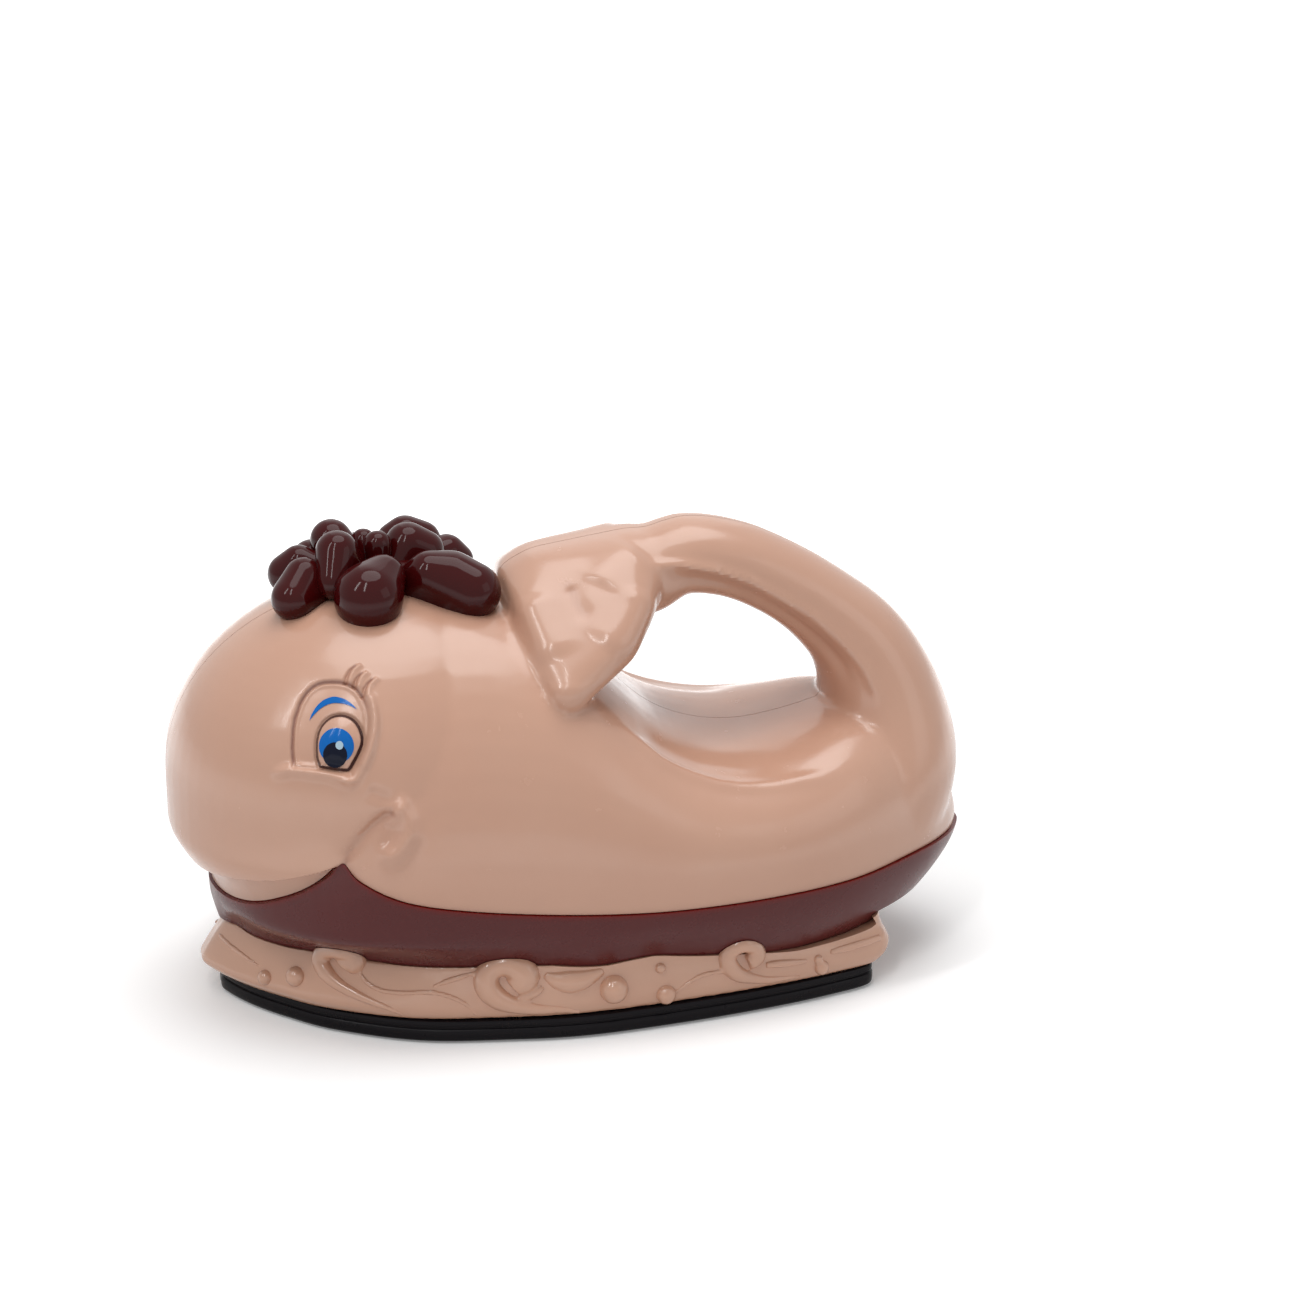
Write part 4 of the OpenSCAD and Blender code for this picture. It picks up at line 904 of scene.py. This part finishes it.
# name, colour, colour of the clouds, their share, roughness, peel, grain size, coat, shine and the colour of
# the painted shade in the grooves (on the band, a painted red glow along its top edge); what is left out
# keeps the usual value
plastics = {
    # the last colour is the painted shade in the body's grooves
    "body_plastic": (
        "rosePlastic", (197, 155, 133), (188, 143, 121), 0.8, 0.22, 0.004, 700, 0.1, 0.45, (108, 58, 46)),
    "base_plastic": ("rosePlasticBase", (200, 156, 131), (190, 143, 118), 0.8, 0.18, 0.01, 700, 0.35),
    # the last colour is a painted red glow along the band's thin top edge
    "band_plastic": (
        "maroonBand", (86, 32, 31), (75, 25, 26), 0.7, 0.28, 0.006, 700, 0.0, 0.25, (98, 14, 10)),
    "tuft_plastic": ("maroonTuft", (66, 8, 8), (50, 5, 7), 0.8, 0.08, 0.006, 500, 0.0, 0.17),
    "sole_plastic": ("soleBlack", (16, 12, 16), (10, 8, 12), 0.8, 0.3, 0.03, 1200, 0.0, 0.12),
    "eye_ink": ("inkBlue", (0, 102, 184), (0, 88, 164), 0.6, 0.14, 0.01, 1500, 0.0, 0.18),
    "pupil_ink": ("inkNavy", (12, 18, 38), (8, 12, 30), 0.6, 0.12, 0.01, 1500, 0.0, 0.12),
    "glint_ink": ("inkPale", (168, 194, 208), (140, 172, 192), 0.5, 0.14, 0.02, 1500, 0.3),
    "line_ink": ("inkMaroon", (52, 18, 24), (38, 12, 18), 0.6, 0.2, 0.02, 1500, 0.3),
    "door_plastic": ("doorBlack", (38, 35, 42), (29, 27, 34), 0.7, 0.42, 0.12, 2600),
    "switch_body": ("switchBody", (58, 60, 66), (46, 48, 54), 0.6, 0.4, 0.08, 2200),
    "knob_plastic": ("knobWhite", (226, 224, 218), (208, 205, 198), 0.6, 0.32, 0.06, 1800),
    "chip_resin": ("chipResin", (24, 24, 26), (34, 34, 38), 0.6, 0.12, 0.05, 900, 0.4),
    "lamp_resin": ("lampResin", (216, 78, 66), (236, 128, 108), 0.7, 0.08, 0.01, 700, 0.8),
    "board_green": ("boardGreen", (28, 98, 58), (20, 78, 46), 0.8, 0.3, 0.1, 1600, 0.2),
    "cell_sleeve": ("cellSleeve", (190, 142, 62), (168, 118, 44), 0.6, 0.22, 0.02, 900, 0.4),
    "speaker_metal": ("speakerPaper", (62, 62, 66), (44, 44, 48), 0.8, 0.5, 0.2, 2400),
}
wires = {
    "white": ((226, 222, 214), (205, 200, 190)), "red": ((176, 30, 30), (146, 22, 24)),
    "yellow": ((222, 180, 44), (196, 152, 30)), "green": ((36, 122, 62), (26, 98, 48)),
}
finishes = {slot: plastic(*row) for slot, row in plastics.items()}
for name, (colour, cloud) in wires.items():
    finishes["wire_" + name] = plastic("wire" + name.title(), colour, cloud, 0.6, 0.34, 0.05, 1800)
finishes["screw_steel"] = metal("screwSteel", (186, 186, 190), (150, 150, 154))
finishes["spring_steel"] = metal("springSteel", (202, 202, 198), (168, 168, 164), 0.24, (1, 4, 4))
finishes["plate_steel"] = metal("plateSteel", (200, 200, 198), (160, 160, 158), 0.28, (1, 1, 6))

# the finish of each node that the scene leaves as it is
coated = {
    "screw_steel": [
        "battery_door_screw", "shell_screws", "base_screws", "sole_screws", "board_screws", "speaker_screws"],
    "door_plastic": ["battery_door"], "cell_sleeve": ["aa_cell_left", "aa_cell_right"],
    "spring_steel": ["contact_springs"], "plate_steel": ["contact_plates"], "board_green": ["circuit_board"],
    "chip_resin": ["sound_chip"], "speaker_metal": ["speaker"], "switch_body": ["slide_switch"],
    "knob_plastic": ["switch_knob"], "lamp_resin": ["belly_lamps", "spout_lamp"],
    "wire_red": ["battery_wires"], "wire_white": ["switch_wires"], "wire_yellow": ["speaker_wires"],
    "wire_green": ["spout_lamp_wires"],
}
for slot, names in coated.items():
    for name in names:
        held = nodes[name].data.materials
        held.clear()
        held.append(finishes[slot])
print("materials", len(finishes))

screwHole = 1.5
headHole = 2.8
bossHalf = 3.6
gripLength = 2.8  # plastic under a shell screw's head
deckLevel = 17.6  # top of the base's deck, under the band's floor
soleFront = -81.88
soleLength = 146
soleWidth = 87
soleThick = 5
baseHeight = 12.6
shellScrews = [(x * whale["length"], 0, z * whale["height"])
               for x, z in ((-0.393, 0.49), (-0.125, 0.6), (0.098, 0.42), (0.395, 0.43), (0.224, 0.862))]


def pairs(*places):
    # screws on both sides, as shares of the sole's length and half width
    return [(soleFront + u * soleLength, side * v * soleWidth / 2) for u, v in places for side in (-1, 1)]


posts = pairs((0.299, 0.7), (0.863, 0.635))
feet = pairs((0.183, 0.53), (0.958, 0.487))
plug = {"x": -42.71, "radius": 8, "low": 85.3, "flange": 10}
windowFront = soleFront + 0.132 * soleLength
windowRear = soleFront + 0.97 * soleLength
windowHalf = 18.7


def makeShell(side):
    # the right half takes the heads of the shell screws, the left half their points
    own = [(x, y) for x, y in posts if y * side > 0]
    bosses = [rod(place, bossHalf, 46, (0, side, 0)) for place in shellScrews]
    bosses += [rod((x, y, deckLevel + 2.4), bossHalf, 100) for x, y in own]
    shell = combined(bodyMesh, "DIFFERENCE", combined(innerMesh, "DIFFERENCE", *bosses))
    near = whale["seam"] / 2
    low, high = (near, 90) if side > 0 else (-90, -near)
    half = block((-120, low, -10), (120, high, 130))
    shell = combined(shell, "INTERSECT", sideBlock(partingLine, whale["seam"], True), half)
    bores = []
    for x, y, z in shellScrews:
        bores.append(rod((x, -side, z), screwHole, 11 if side < 0 else 93, (0, side, 0)))
        if side > 0:
            bores.append(rod((x, gripLength, z), headHole, 92, (0, 1, 0)))
    bores += [rod((x, y, 0), screwHole, deckLevel + 10) for x, y in own]
    bores.append(rod((plug["x"], 0, plug["low"]), plug["radius"] + 0.2, 21))
    return combined(shell, "DIFFERENCE", *bores)


# the shells carry the painted shade of their grooves
addPiece("leftShell", makeShell(-1), "body_plastic", "left_body_shell", paintedShadeAndGlow=paintedShadeOf)
addPiece("rightShell", makeShell(1), "body_plastic", "right_body_shell", paintedShadeAndGlow=paintedShadeOf)
print("shells made")


def castPatch(side, rings, lift, away=12):
    # flat rings in the eye's plane, laid on the carved face from some way off and lifted a little
    place, across, up, out = eyeAxes(side)
    sheet = []
    for ring in rings:
        starts = [Vector(place + a * across + b * up + away * out) for a, b in ring]
        sheet.append([faceTree.ray_cast(start, Vector(-out))[0] + Vector(out) * lift for start in starts])
    return sheet


def printPatch(side, rings, low, high):
    # closed thin solid between two levels over the face; the rings run from the rim to the middle
    return skin(castPatch(side, rings, low)[::-1] + castPatch(side, rings, high))


def disc(a, b, ra, rb, parts=8, count=40):
    shares = [1 - k / parts for k in range(parts)] + [0.02]
    return [[(a + share * ra * c, b + share * rb * s) for c, s in circle(count)] for share in shares]


def strip(outer, inner, parts=4):
    # a crescent between two lines, as rings round its middle line
    outer = smoothRows(outer, 3)
    inner = smoothRows(inner, 3)
    middle = [(np.array(p) + np.array(q)) / 2 for p, q in zip(outer, inner)]
    rings = []
    for k in range(parts + 1):
        s = max(1 - k / parts, 0.02)
        top = [m + s * (p - m) for p, m in zip(outer, middle)]
        low = [m + s * (q - m) for q, m in zip(inner, middle)]
        rings.append([tuple(p) for p in top + low[-2:0:-1]])
    return rings


def stroke(side, outline, half, low=0.02, high=0.2):
    # a thin printed line round a closed outline
    line = np.array([row[:2] for row in smoothRows(list(outline) + [outline[0]], 3)])
    line[-1] = line[0]
    way = np.roll(line[:-1], -1, 0) - np.roll(line[:-1], 1, 0)
    away = np.stack([way[:, 1], -way[:, 0]], 1) / np.linalg.norm(way, axis=1)[:, None] * half
    away = np.vstack([away, away[:1]])
    corners = ((1, low), (1, high), (-1, high), (-1, low))
    sheets = [castPatch(side, [line + turn * away], lift)[0] for turn, lift in corners]
    return skin([list(corner) for corner in zip(*sheets)])


faceTree = BVHTree.FromPolygons([v.co for v in bodyMesh.vertices], [p.vertices for p in bodyMesh.polygons])
for side, label, replaced in ((-1, "left", "left_eye_print"), (1, "right", "right_eye_print")):
    blue = [printPatch(side, disc(*eye["iris"]), 0.02, 0.16),
            printPatch(side, strip(eye["browOuter"], eye["browInner"]), 0.02, 0.14)]
    addPiece(label + "Iris", toMesh(*blue), "eye_ink", replaced)
    prints = {
        "EyeLine": ("line_ink", stroke(side, eye["outline"], eye["stroke"])),
        "Pupil": ("pupil_ink", printPatch(side, disc(*eye["pupil"]), 0.18, 0.26)),
        "Glint": ("glint_ink", printPatch(side, disc(*eye["glint"], 4, 24), 0.28, 0.34)),
    }
    for part, (ink, shape) in prints.items():
        addPiece(label + part, toMesh(shape), ink, slot="eye_ink")
print("eyes printed")

planRows = [
    (0.0, 0.0), (0.003, 0.08), (0.036, 0.27), (0.088, 0.471), (0.155, 0.67), (0.274, 0.88),
    (0.407, 0.966), (0.532, 1.0), (0.7, 0.945), (0.844, 0.86), (0.94, 0.775), (0.988, 0.715),
    (1.0, 0.65),
]
baseRows = [
    (0.0, 0.1, 0.08, -0.08), (0.2, 0.34, 0.26, -0.02), (0.45, 0.24, 0.3, -0.03),
    (0.75, 0.04, 0.16, -0.08), (1.0, -0.16, 0.1, -0.1),
]

# side view of the base's top edge, where the band meets it
shoreRows = [
    (-92, 17.4), (-79.7, 17.4), (-74.8, 16.7), (-67.8, 16.8), (-63.0, 17.3), (-52.0, 17.5), (-44.8, 17.3),
    (-34.0, 17.3), (-15.0, 17.2), (-11.4, 17.0), (-5.9, 16.4), (-0.9, 16.2), (2.5, 16.5), (7.1, 16.9),
    (11.1, 17.0), (16.9, 16.1), (22.7, 15.3), (30.0, 14.5), (35.8, 13.8), (39.4, 13.4), (44.2, 13.0),
    (49.8, 13.2), (54.8, 13.5), (59.9, 14.0), (64.2, 14.9), (65.6, 17.2), (92, 17.4),
]
shoreLine = [(row[0], row[1]) for row in smoothRows(shoreRows, 3)]
drawnFrom = 27  # height from which the band draws in to meet the base
bandProud = 0.6  # how far the band stands out from the shells


def planRing(front, rear, half, z, parts=5):
    rows = smoothRows(planRows, parts)
    near = [(front + u * (rear - front), -v * half, z) for u, v in rows]
    far = [(front + u * (rear - front), v * half, z) for u, v in rows[:0:-1]]
    return near + far


def baseForm(inset):
    rings = []
    for share, front, rear, side in smoothRows(baseRows, 4):
        z = soleThick + 0.2 + share * (baseHeight - 0.2)
        rings.append(planRing(soleFront - front * baseHeight + inset,
                              soleFront + soleLength + rear * baseHeight - inset,
                              soleWidth / 2 + side * baseHeight - inset, z))
    return skin(rings)


def baseSide(x, z):
    # half width of the base at a place in the side view
    t = np.clip((z - soleThick - 0.2) / (baseHeight - 0.2), 0, 1)
    shares, fronts, rears, sides = zip(*baseRows)
    front = soleFront - np.interp(t, shares, fronts) * baseHeight
    rear = soleFront + soleLength + np.interp(t, shares, rears) * baseHeight
    half = soleWidth / 2 + np.interp(t, shares, sides) * baseHeight
    places, widths = zip(*smoothRows(planRows, 5))
    return half * np.interp((x - front) / (rear - front), places, widths)


def torsoSide(x, z, inset):
    # half width of the belly's own form below its widest level
    rows = np.array(smoothRows(torsoRows, 3))
    share = x / (whale["length"] - 2 * inset)
    half, middle, low = [np.interp(share, rows[:, 0], rows[:, k]) for k in (1, 3, 4)]
    middle = middle * whale["height"]
    depth = np.clip((middle - z) / (middle - low * whale["height"] - inset), 0, 1)
    return (half * whale["width"] / 2 - inset) * np.sqrt(1 - depth ** 2)


def drawIn(x, z, inset):
    # how far the band's width shrinks towards the base's top edge
    shore = np.interp(x, *zip(*shoreLine))
    own = np.maximum(torsoSide(x, shore, inset), 0.1)
    ratio = np.clip((baseSide(x, shore) - 1.1 - inset) / own, 0.35, 1)
    ratio += (1 - ratio) * ease(x, 52, 62)
    return 1 - ease(drawnFrom - z, 0, drawnFrom - shore) * (1 - ratio)


def bandForm(inset, voxel, rounds):
    mesh = remeshed(torsoForm(inset), voxel, rounds)
    points = getPoints(mesh)
    points[:, 1] *= drawIn(points[:, 0], points[:, 2], inset)
    setPoints(mesh, points)
    return softened(mesh, (-120, -80, 8), (120, 80, drawnFrom + 3), 5)


def openings():
    # the battery well and the screw holes that go through the band and the base
    return [block((windowFront, -windowHalf, 0), (windowRear, windowHalf, 60)),
            *[rod((x, y, 0), screwHole, 60) for x, y in posts]]


def makeBand():
    outer = combined(bandForm(-bandProud, 0.85, 4), "INTERSECT", sideBlock(partingLine, 0, False),
                     sideBlock(shoreLine, 0.15, True))
    hollow = combined(bandForm(1.4, 1.4, 3), "DIFFERENCE", layer(deckLevel + 0.2, deckLevel + 2.2))
    return combined(outer, "DIFFERENCE", hollow, *openings())


def paintedRimGlow(points):
    # the band's top edge is thin; a painted red glow along it stands in for light that comes through it
    down = np.interp(points[:, 0], *zip(*partingLine)) - points[:, 2]
    return bell(np.maximum(down, 0), 0.6)


# the band carries the painted red glow along its top edge
addPiece("bellyBand", makeBand(), "band_plastic", "belly_band", paintedShadeAndGlow=paintedRimGlow)
print("band made")


def worm(path, radii, parts=4, sides=12):
    # a round tube along a path with its own radius at each point
    rows = smoothRows([(*point, radius) for point, radius in zip(path, radii)], parts)
    rings = []
    for k, row in enumerate(rows):
        before, after = rows[max(k - 1, 0)], rows[min(k + 1, len(rows) - 1)]
        way = Vector(after[:3] - before[:3]).normalized()
        u = way.cross(Vector((0, 1, 0)) if abs(way.y) < 0.9 else Vector((1, 0, 0))).normalized()
        v = way.cross(u)
        rings.append([Vector(row[:3]) + float(row[3]) * (c * u + s * v) for c, s in circle(sides)])
    return skin(rings)


# waves on the near side of the base: places in the side view and radii; "sink" is the share of the radius
# that lies inside the wall
waves = {
    "firstCurl": {"sink": 0.15, "line": [
        (-44.2, 5.6, 0.3), (-47.9, 7.8, 0.6), (-51.5, 9.0, 0.9), (-55.1, 10.3, 1.2), (-58.3, 11.8, 1.5),
        (-60.8, 13.9, 2.0), (-61.6, 16.4, 2.2), (-60.3, 18.8, 2.1), (-57.8, 20.0, 2.0), (-55.4, 19.2, 2.3),
        (-54.6, 17.2, 3.0), (-56.2, 16.6, 2.8), (-57.2, 15.6, 2.2)]},
    "firstWake": {"sink": 0.1, "line": [
        (-53.7, 14.7, 0.5), (-52.2, 12.8, 0.6), (-49.3, 11.7, 0.6), (-45.2, 11.6, 0.6), (-40.4, 12.0, 0.6),
        (-37.2, 11.7, 0.6), (-34.0, 10.6, 0.6), (-31.4, 8.9, 0.5), (-29.4, 6.2, 0.4)]},
    "prowRidge": {"sink": 0.4, "line": [
        (-82.1, 14.2, 0.5), (-80.1, 13.4, 0.6), (-77.5, 12.6, 0.6), (-74.5, 11.6, 0.4)]},
    "secondCurl": {"sink": 0.2, "line": [
        (-6.7, 5.9, 0.5), (-11.1, 7.0, 0.9), (-15.6, 7.4, 1.3), (-20.0, 8.2, 1.8), (-24.4, 10.0, 2.6),
        (-26.8, 12.7, 3.0), (-26.9, 15.4, 2.9), (-25.2, 17.3, 2.8), (-22.4, 17.9, 3.0), (-19.8, 16.6, 3.6),
        (-18.8, 14.8, 3.7), (-20.2, 13.4, 3.2), (-21.4, 12.4, 2.4)]},
    "secondSweep": {"sink": 0.2, "line": [
        (-20.4, 9.9, 0.6), (-18.3, 10.5, 1.0), (-16.3, 11.4, 1.0), (-14.8, 12.5, 0.6)]},
    "leaf": {"sink": 0.4, "line": [
        (-14.4, 15.3, 0.8), (-12.0, 13.9, 2.2), (-9.0, 13.2, 2.9), (-6.1, 13.4, 2.6), (-3.4, 14.3, 1.8),
        (-1.3, 15.2, 0.9)]},
    "thirdSweep": {"sink": 0.2, "line": [
        (15.3, 8.1, 0.4), (18.0, 9.7, 0.6), (20.8, 11.0, 0.6), (23.8, 11.4, 0.6), (26.2, 11.1, 0.5)]},
    "secondWake": {"sink": 0.2, "line": [
        (-29.6, 16.3, 0.4), (-32.7, 15.3, 0.7), (-35.4, 14.5, 0.7), (-38.7, 13.2, 0.4)]},
    "thirdCurl": {"sink": 0.15, "line": [
        (44.9, 6.6, 0.4), (41.2, 6.9, 0.7), (37.0, 7.3, 1.0), (33.3, 8.4, 1.3), (30.0, 9.9, 1.9),
        (27.8, 12.3, 2.2), (27.4, 14.6, 2.2), (28.8, 16.7, 2.0), (31.3, 17.3, 1.9), (33.7, 16.0, 1.9),
        (34.2, 13.8, 2.4), (33.0, 12.8, 2.3), (32.0, 12.4, 1.9)]},
    "thirdWake": {"sink": 0.2, "line": [
        (36.4, 11.1, 0.8), (39.0, 10.9, 1.0), (42.3, 10.6, 0.9), (46.6, 10.2, 0.6)]},
    "rearPlate": {"sink": 0.3, "line": [
        (52.2, 11.2, 0.7), (56.0, 11.3, 1.0), (60.4, 11.5, 1.0), (65.0, 11.8, 0.9)]},
}
bubbles = [
    (-73.5, 9.7, 1.8), (-67.2, 11.7, 2.3), (0.9, 10.7, 3.3), (12.9, 7.8, 2.3), (11.7, 14.1, 1.3),
    (50.1, 7.9, 1.8), (49.2, 10.1, 1.2)]


def waveSide(x, z):
    # half width of what a wave lies on
    return max(baseSide(x, min(z, deckLevel)), torsoSide(x, z, -bandProud) * drawIn(x, z, -bandProud))


# how far inside the base's face the relief starts, and the core and the hollow lie
baseInsets = {"relief": 2.6, "core": 2.8, "hollow": 4.6}


def makeBase():
    # relief cast on a wall that ends at the shore, a core up to the deck and a hollow inside
    parts = []
    for side in (-1, 1):
        for wave in waves.values():
            path = [(x, side * (waveSide(x, z) - wave["sink"] * r), z) for x, z, r in wave["line"]]
            parts.append(worm(path, [r for x, z, r in wave["line"]]))
        for x, z, r in bubbles:
            parts.append(ball((x, side * (waveSide(x, z) - 0.05 * r), z), (r, r, r), 12))
    overShore = toMesh(sideBlock(shoreLine, 0, True))
    keepOut = combined(bandForm(-bandProud - 0.2, 1.0, 4), "INTERSECT", overShore)
    inside = baseForm(baseInsets["relief"])
    reliefs = combined(remeshed(toMesh(*parts), 0.4, 3), "DIFFERENCE", keepOut, inside)
    wall = combined(remeshed(baseForm(0), 0.6, 4), "DIFFERENCE", overShore)
    core = combined(baseForm(baseInsets["core"]), "INTERSECT", layer(0, deckLevel))
    cavity = toMesh(baseForm(baseInsets["hollow"]))
    points = getPoints(cavity)
    points[points[:, 2] < soleThick + 0.3, 2] -= 3
    setPoints(cavity, points)
    cavity = combined(cavity, "INTERSECT", layer(0, deckLevel - 2))
    base = combined(combined(wall, "UNION", core, reliefs), "DIFFERENCE", cavity)
    base = combined(base, "UNION", *[rod((x, y, soleThick + 0.2), bossHalf, 11.5) for x, y in feet])
    return combined(base, "DIFFERENCE", *openings(), *[rod((x, y, 0), screwHole, 12.4) for x, y in feet])


addPiece("waveBase", makeBase(), "base_plastic", "wave_base")
print("base made")

# rounded edge of the sole: height, and how far inside the outline it lies
soleEdge = [
    (0.0, 0.9), (0.12, 0.48), (0.4, 0.16), (0.8, 0.02), (1.6, 0.0), (2.5, 0.02), (2.85, 0.18),
    (3.0, 0.55), (3.45, 0.55), (3.6, 0.18), (3.8, 0.1), (4.5, 0.12), (4.85, 0.3), (5.0, 0.62),
]


def soleForm(inset, rows):
    rings = []
    for z, away in rows:
        away += inset
        rings.append(planRing(soleFront + away, soleFront + soleLength - away, soleWidth / 2 - away, z, 8))
    return skin(rings)


def makeSole():
    rim = combined(soleForm(0, soleEdge), "DIFFERENCE", soleForm(2.4, [(-1, 0), (8, 0)]))
    middle = combined(cadMesh("soleplate"), "INTERSECT", soleForm(2.0, [(-1, 0), (40, 0)]))
    return combined(rim, "UNION", middle)


addPiece("soleplateSmooth", makeSole(), "sole_plastic", "soleplate", crease=30)
print("sole made")

# droplets as balls from the root to the tip, the last row being their shared root
droplets = [
    [(-38, -3, 94, 3.6), (-32.8, -6, 97.7, 5.1), (-28.0, -6, 96.1, 6.3), (-23.6, -8, 93.6, 6.5)],
    [(-43, -3, 95, 3.6), (-43.4, -8, 98.1, 5.2), (-47.0, -12, 95.2, 7.7)],
    [(-53, -0.5, 95, 3.0), (-60.0, -3, 97.8, 4.4), (-62.8, -6, 94.0, 5.0)],
    [(-48, -1, 95, 3.0), (-52.5, -2, 102.7, 4.8), (-53.9, -6, 97.2, 3.9)],
    [(-46, 3, 96, 3.0), (-52.3, 10, 101.6, 4.8)],
    [(-44, 4, 97, 2.6), (-45.5, 7, 102.0, 2.8)],
    [(-43, 1, 97, 2.6), (-43.0, 2, 102.5, 3.2)],
    [(-40, 8, 96, 3.6), (-37.8, 13, 99.5, 4.2), (-35.3, 13, 100.5, 4.7), (-31.8, 13, 99.0, 4.7)],
    [(-39, 3, 96, 3.6), (-35.8, 6, 100.7, 5.1), (-32.2, 6, 98.9, 4.8)],
    [(-34, 7, 96, 3.2), (-26.2, 12, 96.0, 4.5), (-23.9, 12, 94.2, 4.0)],
    [(-52, 3, 95, 3.0), (-60.1, 6, 98.3, 3.9), (-62.5, 7, 95.4, 4.6)],
    [(-43, 6, 95, 3.6), (-45.2, 12, 97.6, 5.0), (-46.6, 15.5, 94.2, 6.6)],
    [(-50, 6, 95, 3.2), (-56.2, 13, 95.6, 5.4)],
    [(-34, 7, 95, 3.6), (-27.4, 15, 92.8, 6.2)],
    [(-50, 0, 94, 5), (-36, 0, 94, 5), (-43, 5, 94, 5)],
]


def makeTuft():
    # each droplet is rounded into an egg before they are joined
    drops = [wrapped(*[ball(place, (r, r, r), 20) for *place, r in row]) for row in droplets]
    eggs = [remeshed(drop, 0.45, 8) for drop in drops]
    heap = combined(combined(eggs[0], "UNION", *eggs[1:]), "DIFFERENCE", bodyMesh)
    x, low = plug["x"], plug["low"]
    neck = [rod((x, 0, low), plug["radius"], 12), rod((x, 0, low - 2.2), plug["flange"], 2.2)]
    return combined(combined(heap, "UNION", *neck), "DIFFERENCE", rod((x, 0, 82.2), 3.1, 8.2))


addPiece("spoutTuft", makeTuft(), "tuft_plastic", "spout_tuft")
print("tuft made")


def paper():
    # white paper that keeps the shadow near the object and is plain white further out
    material = plastic("paper", (250, 250, 250), (246, 246, 246), 0.5, 0.9, 0.0, shine=0)
    tree = material.node_tree
    shader = setValues(tree.nodes["Principled BSDF"], Emission_Color=(1, 1, 1, 1))
    place = addNode(tree, "TexCoord")
    length = addNode(tree, "VectorMath", operation="LENGTH")
    ramp = addNode(
        tree, "MapRange", interpolation_type="SMOOTHSTEP", From_Min=0.12, From_Max=studio["floorFar"])
    glow = addNode(tree, "Math", operation="MULTIPLY")
    near = addNode(tree, "Math", operation="MAXIMUM")
    near.inputs[1].default_value = studio["floorNear"]
    # seen from below, the paper lets the object show
    under = addNode(tree, "NewGeometry")
    clear = addNode(tree, "BsdfTransparent")
    mix = addNode(tree, "MixShader")
    wire(
        tree, (place, "Object", length, 0), (length, "Value", ramp, "Value"), (ramp, "Result", near, 0),
        (near, 0, glow, 0), (seenRays(tree), 0, glow, 1), (glow, 0, shader, "Emission Strength"),
        (under, "Backfacing", mix, 0), (shader, 0, mix, 1), (clear, 0, mix, 2),
        (mix, 0, tree.nodes["Material Output"], "Surface"))
    return material


def makeFloor():
    low = min(cadBounds[0][2], 0) - 0.0005
    bm = bmesh.new()
    bmesh.ops.create_grid(bm, x_segments=1, y_segments=1, size=3, matrix=Matrix.Translation((0, 0, low)))
    mesh = stored(bm, bpy.data.meshes.new("floor"))
    floor = bpy.data.objects.new("floor", mesh)
    scene.collection.objects.link(floor)
    mesh.materials.append(paper())


makeFloor()
setCamera()
setStudio()
